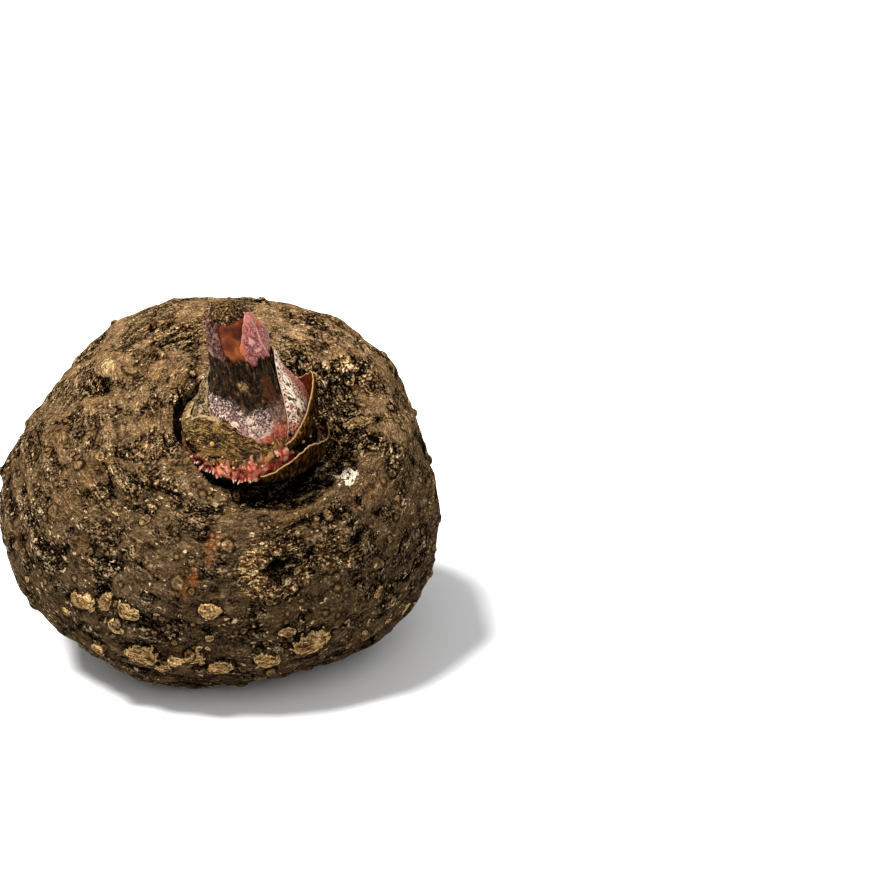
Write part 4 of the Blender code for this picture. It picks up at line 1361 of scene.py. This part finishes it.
def fibres(theta, below, wide, tall, seed):
    """Noise in strands that follow the upper edge of a scale."""
    return noise(np.stack((theta * FIBRE_RADIUS / wide, below / tall, 0 * theta), axis=-1), seed)


def blobs(theta, height, places):
    """1 at some places on a scale, falling to 0 past their radii in degrees and mm."""
    share = np.zeros(theta.shape)
    for turn, level, wide, tall in places:
        off = (np.degrees(theta) - turn + 180) % 360 - 180
        far = np.hypot(off / wide, (height / MM - level) / tall)
        share = np.maximum(share, 1 - smooth(far, 0.4, 1.3))
    return share


def marked(places, theta, height):
    """Masks of some named places on a scale."""
    return {name: blobs(theta, height, spots) for name, spots in places.items()}


def crease_distance(theta, height):
    """Distance in mm from the crease of the tip scale."""
    points = np.stack((theta * CREASE_RADIUS, height / MM), axis=-1)
    path = [np.array((math.radians(turn) * CREASE_RADIUS, level)) for turn, level in CREASE]
    nearest = np.full(theta.shape, 99.0)
    for start, end in zip(path, path[1:]):
        run = end - start
        share = np.clip((points - start) @ run / (run @ run), 0, 1)
        nearest = np.minimum(nearest, np.linalg.norm(points - start - share[..., None] * run, axis=-1))
    return nearest


def loop_faces(columns, ring, closed):
    """Quads of loops of points joined side to side, with strips over open ends."""
    first = np.arange(columns if closed else columns - 1)[:, None] * ring + np.arange(ring)
    second = (first + ring) % (columns * ring)
    quads = np.stack((first, second, np.roll(second, -1, axis=1), np.roll(first, -1, axis=1)), axis=-1)
    quads = quads.reshape(-1, 4)
    if closed:
        return quads
    step = np.arange(ring // 2 - 1)
    strip = np.stack((step, step + 1, ring - 2 - step, ring - 1 - step), axis=-1)
    return np.concatenate((quads, strip, strip[:, ::-1] + (columns - 1) * ring))


def torn_grid(node, columns, rows, ragged, sway):
    """Turns, shares and heights over a scale, the distance below its edge, and the edge's tear in mm."""
    start, end = SPANS[node]
    theta = turns(start, end, columns, end - start == 360)
    turn, up = np.meshgrid(theta, np.linspace(0, 1, rows), indexing="ij")
    low, high = SHAPES[node][0](turn)
    depth, width = ragged
    tear = depth * (grain(turn, 0 * turn, width, 1, 91) + 0.6 * grain(turn, 0 * turn, width / 2.3, 1, 92))
    high = high + tear * MM
    height = low + (high - low) * up
    side = np.abs(np.linspace(-1, 1, columns))[:, None] ** 8
    wave = noise(np.stack((0 * height, 0 * height, height / MM / 2.2), axis=-1), 93)
    return turn + np.radians(sway) * side * wave, up, height, (high - height) / MM, tear


def both_sides(masks, turn):
    """The masks for the outside of a scale and then its inside, told apart by one more."""
    masks = {name: np.concatenate((values, values[:, ::-1]), axis=1) for name, values in masks.items()}
    masks["inside"] = np.concatenate((0 * turn, 0 * turn + 1), axis=1)
    return {name: values.reshape(-1, 3) if values.ndim == 3 else values.ravel()
            for name, values in masks.items()}


def fine_scale(node, look, columns, rows, relief, marks, ragged, sway=0):
    """A scale on a fine grid, with a torn thin edge, its relief in mm and its masks."""
    inner, outer = SHAPES[node][1:]
    turn, up, height, below, tear = torn_grid(node, columns, rows, ragged, sway)
    bare = inner(turn, height, up)
    rise = relief(turn, height, below)
    thick = np.maximum(outer(turn, height, up) - bare + rise * MM, LEAST)
    thick = EDGE + (thick - EDGE) * (0.1 + 0.9 * smooth(below, 0, THINNING))
    along = turn * FIBRE_RADIUS
    masks = {
        "local": np.stack((bare * np.sin(turn) / MM, bare * np.cos(turn) / MM, height / MM), axis=-1),
        "fibre": np.stack((along + 0.4 * height / MM, below - tear + 0.25 * along, 0 * turn), axis=-1),
        "below": below,
        "relief": rise,
        **marks(turn, height),
    }
    outside, inside = on_shoot(bare + thick, turn, height), on_shoot(bare, turn, height)
    loops = np.concatenate((outside, inside[:, ::-1]), axis=1)
    start, end = SPANS[node]
    faces = loop_faces(columns, 2 * rows, end - start == 360)
    make_piece(node + "_skin", loops, faces.tolist(), both_sides(masks, turn), look, node)


def paint_core():
    """Smooth orange brown core under its crusty cap."""
    look = Look("dry_tip")
    colour = look.ramp(look.noise(7, 1, 2, 0.5, place=look.vector("local")), CORE_GRAIN)
    fine = look.strands(1.3, 2, 0.2, 0.0, rough=0.6)
    colour = look.mix(0.5 * look.step(fine, 0.52, 0.64), colour, (112, 50, 28))
    lumps = look.noise(1.1, 3, 3, 0.7, 0.2)
    crust = look.zone("cap", 2.4, 0.8)
    colour = look.mix(crust, colour, look.ramp(lumps, CAP_GRAIN))
    height = lumps * crust + 0.12 * fine
    return look.finish(look.tint(colour, TONE), look.scale(crust, 0.42, 0.9), height, 1.2, 0.06)


def paint_tip_scale():
    """Dusky pink scale with purple flecks, pale patches and a pale crease."""
    look = Look("pink_scale")
    streak = look.strands(1.0, 1, 0.5)
    colour = look.ramp(streak, TIP_GRAIN)
    colour = look.patch(colour, "orange", 3, 0.6, 1.0, (206, 122, 88))
    share = look.scale(look.zone("pink", 3, 0.5), 0.1, 0.62)
    colour = look.fleck(colour, 0.8, share, 4, 0.85, (84, 36, 50))
    colour = look.patch(colour, "cream", 0.9, 2.4, 0.65, (238, 208, 204))
    crease = look.step(look.mask("crease") + look.noise(1.5, 6), 1.05, 0.6)
    colour = look.mix(0.8 * crease, colour, (226, 186, 180))
    rim = look.step(look.mask("below"), 0.5, 0.1)
    colour = look.mix(0.6 * rim, colour, (222, 170, 156))
    return look.finish(look.tint(colour, TONE), 0.5, 0.4 * streak + 0.3 * crease, 0.6, 0.12)


def paint_bulb(look, streak):
    """Colour of the sheath's bulb: lilac with dark flecks, salmon and fibrous at the right."""
    colour = look.ramp(streak, BULB_GRAIN)
    colour = look.patch(colour, "pink", 3, 0.8, 0.6, (172, 104, 112))
    red = look.ramp(look.noise(1.6, 5, 3, 0.6), RED_GRAIN)
    colour = look.patch(colour, "salmon", 3, 1.0, 0.9, red)
    colour = look.fleck(colour, 0.8, look.mask("speck"), 4, 1.0, FLECK)
    colour = look.fleck(colour, 1.7, look.mask("speck"), 6, 0.5, (64, 40, 38))
    brown = look.ramp(look.strands(1.0, 2, 0.22, 0.4), BROWN_GRAIN)
    colour = look.patch(colour, "fibrous", 2.2, 1.4, 0.75, brown)
    return look.patch(colour, "cream", 0.9, 2.6, 0.8, CREAM)


def paint_neck(look, colour, shreds, dark):
    """The colour with the sheath's dark shredded neck over it, and the pale wart on that."""
    neck = look.ramp(shreds, NECK_GRAIN)
    warm = look.step(look.mask("warm") + shreds - 0.5, 0.3, 0.7)
    neck = look.mix(0.6 * warm, neck, look.mix(shreds, (40, 20, 14), (128, 76, 54)))
    colour = look.mix(dark, colour, neck)
    crumbs = look.noise(1.1, 11, 2)
    wart = look.step(look.mask("wart") * look.scale(crumbs, 0, 2), 0.4, 0.6)
    return look.mix(wart, colour, look.mix(look.step(crumbs, 0.45, 0.6), (84, 66, 44), (172, 146, 108)))


def paint_sheath():
    """Lilac bulb, dark ragged neck, and the bare flap at the left of its top."""
    look = Look("sheath")
    streak, shreds = look.strands(1.2, 1, 0.5), look.strands(1.1, 3, 0.3, 0.6)
    dark = look.step(look.mask("neck") + (look.noise(1.4, 9, 3, 0.65) - 0.5) * 2.4, 0.25, 0.75)
    colour = paint_neck(look, paint_bulb(look, streak), shreds, dark)
    skin = look.fleck(look.ramp(streak, FLAP_GRAIN), 0.8, 0.58, 8, 0.85, (30, 18, 18))
    skin = look.mix(0.7 * look.mask("pale_edge"), skin, (206, 184, 170))
    colour = look.patch(colour, "flap", 1.6, 0.7, 1.0, skin)
    height = 1.2 * shreds * dark + 0.6 * streak
    gloss = look.scale(dark, 0.4, 0.05)
    return look.finish(look.tint(colour, BULB_TONE), look.scale(dark, 0.4, 0.85), height, 1.8, gloss)


def paint_side_scale():
    """Whitish pink scale with dense brown flecks and bright torn patches."""
    look = Look("speckled_scale")
    streak = look.strands(1.0, 1, 0.4)
    colour = look.ramp(streak, SIDE_GRAIN)
    colour = look.patch(colour, "pink", 4, 0.7, 0.8, (188, 108, 100))
    colour = look.patch(colour, "salmon", 4, 0.7, 0.8, (204, 122, 104))
    colour = look.fleck(colour, 0.8, 0.6, 4, 1.0, (44, 26, 22))
    bright = look.zone("cream", 1.2, 1.3)
    shred = look.step(look.strands(0.9, 7, 0.3, 0.2, detail=2, rough=0.6), 0.43, 0.5)
    colour = look.mix(bright, colour, look.mix(shred, (82, 56, 44), (255, 250, 238)))
    rim = look.step(look.mask("below"), 0.7, 0.2)
    colour = look.mix(0.7 * rim, colour, (232, 214, 200))
    colour = look.mix(0.8 * look.mask("inside"), colour, (96, 64, 50))
    # the brighter tone is painted light on a scale turned from the key lamp
    return look.finish(look.tint(colour, SIDE_LIT_TONE), 0.55, 0.5 * streak + 0.2 * bright, 0.8, 0.12)


def paint_olive(name):
    """Grey olive fibres that run along the torn edge, pale where they have split."""
    look = Look(name)
    along = look.stretch(look.vector("fibre"), (0.16, 1, 1))
    fine = look.noise(0.6, 1, 3, 0.65, 0.5, place=along)
    broad = look.noise(3.2, 2, 3, 0.65, 0.5)
    colour = look.ramp(0.75 * fine + 0.25 * broad, OLIVE_GRAIN)
    olive = look.mix(look.step(fine, 0.4, 0.62), (30, 24, 15), (166, 146, 100))
    colour = look.mix(0.75 * look.mask("olive"), colour, olive)
    colour = look.tint(colour, (96, 84, 70), 0.8 * look.mask("dark"))
    straw = look.mix(fine, (110, 78, 40), (204, 164, 100))
    colour = look.patch(colour, "straw", 0.9, 2.6, 0.75, straw)
    # painted shade where the relief of the fibres sinks
    gap_shade = look.step(look.mask("relief") + (fine - 0.5) * 1.2, -0.15, -0.45)
    colour = look.mix(0.75 * gap_shade, colour, (10, 7, 4))
    # painted shade: dark flecks in the crevices of the fibres
    colour = look.fleck(colour, 1.0, 0.42, 5, 0.75, CREVICE_SHADE)
    # painted highlights: bright flecks on the fibres
    colour = look.fleck(colour, 0.9, 0.3, 6, 0.7, (222, 190, 138))
    veins = look.step(look.worms(look.noise(3.4, 8, 3, 0.6, 0.5), 9), 0.7, 0.2) * look.mask("veined")
    colour = look.mix(0.85 * veins, colour, (236, 214, 192))
    edge = look.mask("below") + (broad - 0.5) * 5.0
    torn = look.step(edge, 1.1, 0.2) * look.mask("pale")
    colour = look.mix(0.9 * torn, colour, (224, 202, 168))
    return look.finish(look.tint(colour, TONE), 0.75, fine + 0.9 * broad, 1.8, 0.05)


def paint_papery(name):
    """Dry papery scale: red brown inside, tan outside, with a pale edge, and dark lower down: painted shade
    on the rim, its own colour on the curl.
    """
    look = Look(name)
    streak = look.strands(1.3, 1, 0.35, 0.6)
    colour = look.ramp(streak, PAPER_GRAIN)
    # dark lower down: painted shade of the crevice on the rim, the curled scale's own darker lower part
    depth = look.mask("below") * look.scale(look.mask("crusty"), 0.9, 3.6)
    low = look.step(depth + look.noise(2.4, 3, 3) * 6.0, 3.0, 6.4)
    colour = look.mix(0.95 * low, colour, look.mix(look.step(streak, 0.46, 0.64), (14, 9, 5), (84, 58, 31)))
    # painted shade: dark flecks in the crevices of the paper
    colour = look.fleck(colour, 1.0, 0.5, 7, 0.8, CREVICE_SHADE)
    colour = look.mix(look.mask("inside"), colour, look.ramp(streak, PAPER_INSIDE))
    rim = look.step(look.mask("below"), 0.6, 0.25)
    colour = look.mix(0.9 * rim, colour, (224, 190, 142))
    return look.finish(look.tint(colour, TONE), 0.6, streak, 1.4, 0.0)


def paint_frill():
    """Salmon frill with whitish points and a brown torn upper edge."""
    look = Look("salmon_frill")
    soft = look.noise(3.2, 1, 2, 0.5, 0.4)
    colour = look.ramp(soft, FRILL_GRAIN)
    streak = look.strands(1.1, 2, 0.3, rough=0.6)
    colour = look.mix(0.5 * look.step(streak, 0.54, 0.62), colour, (130, 48, 44))
    colour = look.mix(0.5 * look.step(streak, 0.44, 0.38), colour, (232, 164, 138))
    # painted shade where the frill's relief sinks
    gap_shade = look.step(look.mask("relief") + (streak - 0.5) * 1.6, -0.1, -0.5)
    colour = look.mix(0.9 * gap_shade, colour, (30, 12, 8))
    edge = look.mask("below") + (soft - 0.5) * 6.0
    torn = look.mix(look.step(streak, 0.42, 0.6), (26, 17, 9), (158, 122, 70))
    colour = look.mix(0.9 * look.step(edge, 2.2, 1.0), colour, torn)
    tooth = look.step(look.mask("tooth"), 0.75, 0.95)
    colour = look.mix(0.7 * tooth, colour, (240, 206, 188))
    colour = look.mix(look.mask("back"), colour, look.mix(streak, (60, 38, 26), (140, 96, 64)))
    return look.finish(look.tint(colour, TONE), 0.45, 0.8 * soft + 0.5 * streak, 1.4, 0.12)


def paint_bud():
    """Yellow root bud in a dark socket."""
    look = Look("root_bud")
    tip = look.mask("tip") + (look.noise(0.8, 1, 2) - 0.5) * 0.9
    return look.finish(look.tint(look.ramp(tip, BUD_GRAIN), TONE), 0.45, tip, 0.1, 0.3)


def paint_spike():
    """Pink point of the frill with a white tip."""
    look = Look("frill_point")
    tip = look.mask("tip")
    return look.finish(look.tint(look.ramp(tip, POINT_GRAIN), TONE), 0.45, tip, 0.1, 0.3)


def tip_marks(theta, height):
    """The tip scale's patches, and the distance from its crease."""
    return {**marked(TIP_MARKS, theta, height), "crease": crease_distance(theta, height)}


def tip_relief(theta, height, below):
    crease = np.exp(-(crease_distance(theta, height) / 0.9) ** 2)
    return 0.5 * crease + 0.15 * grain(theta, height, 3, 5, 21, 12)


def sheath_marks(theta, height):
    """Where the sheath is dark, flecked, warm brown or bare."""
    marks = marked(SHEATH_MARKS, theta, height)
    turn, level = np.degrees(theta), height / MM
    edge = 31 - 3.5 * np.exp(-((turn - 5) / 16) ** 2) - 2 * np.exp(-((turn - 40) / 20) ** 2)
    marks["neck"] = smooth(level, edge - 5, edge + 3.5)
    marks["speck"] = 0.3 + 0.5 * smooth(level, 12, 26) - 0.1 * marks["salmon"]
    marks["flap"] = smooth(level, 46, 50) * window(theta, -125, -26, 10)
    return marks


def sheath_relief(theta, height, below):
    neck = smooth(height, 28 * MM, 34 * MM)
    shreds = 0.7 * grain(theta, height, 1.6, 6, 22, 14) + 0.5 * grain(theta, height, 3, 3, 23, 14)
    wart = blobs(theta, height, SHEATH_MARKS["wart"]) * (0.9 + 0.6 * grain(theta, height, 1.5, 1.5, 24, 14))
    return neck * (0.7 * shreds - 0.2) + (1 - neck) * 0.14 * grain(theta, height, 2, 2, 25) + 0.8 * wart


def side_marks(theta, height):
    return marked(SIDE_MARKS, theta, height)


def side_relief(theta, height, below):
    return 0.2 * grain(theta, height, 2.4, 5, 26)


def left_marks(theta, height):
    """The left scale is olive, veined and pale at its edge all over."""
    whole, none = np.ones(theta.shape), np.zeros(theta.shape)
    return {"olive": whole, "dark": none, "straw": none, "pale": whole, "veined": whole}


def left_relief(theta, height, below):
    return 0.7 * grain(theta, height, 3, 3.4, 27) - 0.2


def collar_marks(theta, height):
    """Where the collar is olive, dark at its foot, straw coloured or pale at its edge."""
    low = 1 - smooth(height / MM + 1.5 * grain(theta, height, 4, 9, 28), 7, 10)
    return {
        "olive": window(theta, -130, -66, 12),
        "dark": 0.8 * low,
        "straw": blobs(theta, height, STRAW),
        "pale": window(theta, -180, -40, 10),
        "veined": np.zeros(theta.shape),
    }


def collar_relief(theta, height, below):
    strands = 0.3 * fibres(theta, below, 9, 0.7, 29) + 0.35 * fibres(theta, below, 14, 2.2, 30)
    torn = smooth(height / MM + 1.6 * grain(theta, height, 3, 9, 28), 8.0, 9.0)
    return strands + 0.7 * torn - 0.4


def curled_marks(theta, height):
    return {"crusty": np.zeros(theta.shape)}


def curled_relief(theta, height, below):
    return 0.15 * grain(theta, height, 2, 8, 31)


def frill_marks(theta, height):
    """The teeth at the front of the frill, and its plain brown back."""
    tooth = frill_teeth(theta) * (1 - smooth(height / MM, 0.5, 3.5))
    return {"tooth": tooth * window(theta, -75, 8, 12), "back": 1 - window(theta, -60, 110, 20)}


def frill_relief(theta, height, below):
    lumps = 0.7 * grain(theta, height, 2.4, 2.2, 32, 29) + 0.4 * grain(theta, height, 1.2, 1.4, 36, 29)
    return lumps * (0.3 + 0.7 * window(theta, -60, 70, 10))


def rim_marks(theta, height):
    # the rim's lower part takes the crevice's painted shade soonest below its edge
    return {"crusty": np.ones(theta.shape)}


def rim_relief(theta, height, below):
    return 0.45 * grain(theta, height, 2, 2.4, 33, 32)


def build_scales():
    """Every scale round the core, from the inside out."""
    fine_scale("tip_scale", paint_tip_scale(), 110, 90, tip_relief, tip_marks, (0.35, 2.5), 4)
    fine_scale("sheath", paint_sheath(), 300, 120, sheath_relief, sheath_marks, (1.1, 1.3))
    fine_scale("side_scale", paint_side_scale(), 170, 100, side_relief, side_marks, (0.5, 2), 3)
    fine_scale("left_scale", paint_olive("olive_left"), 170, 80, left_relief, left_marks, (1.2, 2.6), 3)
    collar, curl = paint_olive("olive_collar"), paint_papery("papery_curl")
    fine_scale("outer_collar", collar, 380, 90, collar_relief, collar_marks, (0.3, 2), 2)
    fine_scale("curled_scale", curl, 150, 90, curled_relief, curled_marks, (0.7, 2.2), 4)
    fine_scale("frill", paint_frill(), 760, 40, frill_relief, frill_marks, (0.7, 1.5))
    fine_scale("right_rim", paint_papery("papery_rim"), 150, 60, rim_relief, rim_marks, (0.6, 2), 2)


def core_surface(theta, height):
    """Radius of the core with the grains of its cap, and where the cap is."""
    edge = height - 2.6 * MM * np.sin(theta) + 1.4 * MM * grain(theta, height, 4, 4, 12, 9)
    cap = np.maximum(smooth(edge, 62.6 * MM, 64.6 * MM), blobs(theta, height, CAP_SIDE))
    lumps = 0.5 * grain(theta, height, 1.7, 1.7, 10, 9) + 0.4 * grain(theta, height, 3.4, 3, 11, 9)
    plain = core_radius(theta, height)
    radius = plain + (cap * lumps * 1.3 + 0.12 * grain(theta, height, 3, 9, 13, 9)) * MM
    return plain, radius * (1 - 0.35 * smooth(height, CORE_POINT, SHOOT_LENGTH)), cap


def capped_faces(columns, rows):
    """Faces of a tube of loops, with a fan to a point under its foot and one to a point on its top."""
    quads = loop_faces(columns, rows, True).reshape(columns, rows, 4)[:, :-1].reshape(-1, 4)
    ring = np.arange(columns) * rows
    after = np.roll(ring, -1)
    low = np.full(columns, columns * rows)
    foot = np.stack((after, ring, low), axis=-1)
    top = np.stack((ring + rows - 1, after + rows - 1, low + 1), axis=-1)
    return quads.tolist() + foot.tolist() + top.tolist()


def build_core():
    """The core on a fine grid: its smooth flank, and the grains of its cap."""
    foot = np.linspace(GAP, HEAD_START, FOOT_ROWS)
    levels = np.concatenate((foot, np.linspace(HEAD_START + 0.5 * MM, SHOOT_LENGTH, HEAD_ROWS)))
    theta, height = np.meshgrid(turns(-180, 180, CORE_COLUMNS, True), levels, indexing="ij")
    plain, radius, cap = core_surface(theta, height)
    points = on_shoot(np.minimum(radius, plain + 1.2 * MM), theta, height).reshape(-1, 3)
    middle = np.zeros(2)
    ends = on_shoot(middle, middle, np.array((levels[0], levels[-1] + 0.3 * MM)))
    local = np.stack((radius * np.sin(theta) / MM, radius * np.cos(theta) / MM, height / MM), axis=-1)
    masks = {
        "local": np.concatenate((local.reshape(-1, 3), np.zeros((2, 3)))),
        "cap": np.concatenate((cap.ravel(), (0, 1))),
    }
    faces = capped_faces(CORE_COLUMNS, len(levels))
    make_piece("core_skin", np.concatenate((points, ends)), faces, masks, paint_core(), "shoot_core")


def knob(centre, way, radius, length, sharp, flare):
    """Points of a round knob or a thin spike that stands on a surface, base first."""
    side = unit(np.cross(way, (0.3, 0.2, 0.9)))
    other = np.cross(way, side)
    share = np.linspace(0, 1, KNOB_ROWS)[:, None]
    reach = radius * ((1 - share ** sharp) ** (1 / sharp) + flare * (share < 0.1))
    angle = np.arange(KNOB_COLUMNS) * 2 * math.pi / KNOB_COLUMNS
    ring = np.cos(angle)[None, :, None] * side + np.sin(angle)[None, :, None] * other
    return centre + ring * reach[:, :, None] + (share * length)[:, :, None] * way


def build_knobs(name, knobs, look):
    """Many knobs as one mesh, each closed at its tip."""
    points, faces = [], []
    count = KNOB_ROWS * KNOB_COLUMNS
    for index, sizes in enumerate(knobs):
        points.append(knob(*sizes).reshape(-1, 3))
        grid = index * count + np.arange(count).reshape(KNOB_ROWS, KNOB_COLUMNS)
        after = np.roll(grid, -1, axis=1)
        faces += np.stack((grid[:-1], after[:-1], after[1:], grid[1:]), axis=-1).reshape(-1, 4).tolist()
        faces.append(grid[0, ::-1].tolist())
    tips = np.tile(np.linspace(0, 1, KNOB_ROWS).repeat(KNOB_COLUMNS), len(knobs))
    thing = make_piece(name, np.concatenate(points), faces, {"tip": tips}, look)


def on_piece(node, turn, level):
    """A place just under the outside of a scale, from degrees and mm, and the way out of it."""
    limits, _, outer = SHAPES[node]
    theta, height = np.array([[math.radians(turn)]]), np.array([[level * MM]])
    low, high = limits(theta)
    radius = outer(theta, height, (height - low) / (high - low))
    way = RIGHT * math.sin(theta[0, 0]) + FRONT * math.cos(theta[0, 0])
    return on_shoot(radius, theta, height)[0, 0] - 0.25 * MM * way, way


def build_buds():
    """The root buds on the scales."""
    buds = []
    for node, places in ROOT_BUDS.items():
        for turn, level, size in places:
            centre, way = on_piece(node, turn, level)
            buds.append((centre, unit(way + 0.3 * UP), size * 0.85 * MM, size * 1.2 * MM, 2.0, 0.9))
    build_knobs("root_buds", buds, paint_bud())


def build_spikes():
    """The fine points along the frill's lower edge."""
    draw = random.Random(SPIKE_SEED)
    spikes = []
    for index in range(SPIKES):
        turn = -54 + 66 * (index + draw.uniform(-0.3, 0.3)) / SPIKES
        centre, way = on_piece("frill", turn, draw.uniform(0.6, 3.2))
        lean = RIGHT * draw.uniform(-0.6, 0.6) - UP * draw.uniform(0.0, 0.8)
        radius, length = draw.uniform(0.4, 1.0) * MM, draw.uniform(0.7, 2.8) * MM
        spikes.append((centre, unit(way + lean), radius, length, 1.3, 0))
    build_knobs("frill_points", spikes, paint_spike())


# Photograph's view: metres across one of its 872 pixels, and where the corm's middle is in it
PIXEL = 0.4525 * MM
IMAGE = 872
VIEW_RISE = math.radians(20)
CORM_PIXEL = (221, 491)
CAMERA_DISTANCE = 1.0
SENSOR = 36

# Lamps: name, place they shine from, strength, and softness in degrees
LAMPS = (("key", (-0.5, -0.14, 1.15), 8.3, 18), ("fill", (0.3, -0.8, 0.7), 1.1, 60))
SKY_STRENGTH = 0.55

# Floor: half its side in metres, its shade and its roughness
FLOOR_HALF = 6
FLOOR_SHADE = 0.76
FLOOR_ROUGHNESS = 0.6


def place_camera():
    """The camera at the photograph's angle, with the corm where it is in the photograph."""
    right = Vector((1, 0, 0))
    up = Vector((0, math.sin(VIEW_RISE), math.cos(VIEW_RISE)))
    back = Vector((0, -math.cos(VIEW_RISE), math.sin(VIEW_RISE)))
    across, down = (pixel - IMAGE / 2 for pixel in CORM_PIXEL)
    target = Vector((0, 0, CENTRE_HEIGHT)) - right * across * PIXEL + up * down * PIXEL
    data = bpy.data.cameras.new("camera")
    data.sensor_width = SENSOR
    data.lens = SENSOR * CAMERA_DISTANCE / (IMAGE * PIXEL)
    camera = bpy.data.objects.new("camera", data)
    bpy.context.scene.collection.objects.link(camera)
    camera.matrix_world = Matrix((right, up, back)).transposed().to_4x4()
    camera.location = target + back * CAMERA_DISTANCE
    bpy.context.scene.camera = camera


def add_lamp(name, place, strength, softness):
    """A soft lamp that shines from a place towards the corm."""
    data = bpy.data.lights.new(name, "SUN")
    data.energy = strength
    data.angle = math.radians(softness)
    lamp = bpy.data.objects.new(name, data)
    lamp.rotation_mode = "QUATERNION"
    lamp.rotation_quaternion = Vector(place).to_track_quat("Z", "Y")
    bpy.context.scene.collection.objects.link(lamp)


def set_sky():
    """A pale world, and colours shown as they are."""
    world = bpy.data.worlds.new("studio")
    world.use_nodes = True
    sky = world.node_tree.nodes["Background"]
    sky.inputs["Color"].default_value = (1, 1, 1, 1)
    sky.inputs["Strength"].default_value = SKY_STRENGTH
    bpy.context.scene.world = world
    bpy.context.scene.view_settings.view_transform = "Standard"


def add_floor():
    """The white floor, which belongs to the stage."""
    look = bpy.data.materials.new("floor")
    look.use_nodes = True
    shader = look.node_tree.nodes["Principled BSDF"]
    shader.inputs["Base Color"].default_value = (FLOOR_SHADE, FLOOR_SHADE, FLOOR_SHADE, 1)
    shader.inputs["Roughness"].default_value = FLOOR_ROUGHNESS
    data = bpy.data.meshes.new("floor")
    corners = [(x * FLOOR_HALF, y * FLOOR_HALF, 0) for x, y in ((-1, -1), (1, -1), (1, 1), (-1, 1))]
    data.from_pydata(corners, [], [(0, 1, 2, 3)])
    data.materials.append(look)
    floor = bpy.data.objects.new("floor", data)
    bpy.context.scene.collection.objects.link(floor)
    floor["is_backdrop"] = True


def write_sizes():
    """The CAD box and the finished object's box, as plain lists."""
    boxes = {"cad": cad_box, "visual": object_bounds()}
    plain = {name: [list(corner) for corner in box] for name, box in boxes.items()}


build_corm()
build_core()
build_scales()
build_buds()
build_spikes()
place_camera()
set_sky()
for lamp in LAMPS:
    add_lamp(*lamp)
add_floor()
write_sizes()
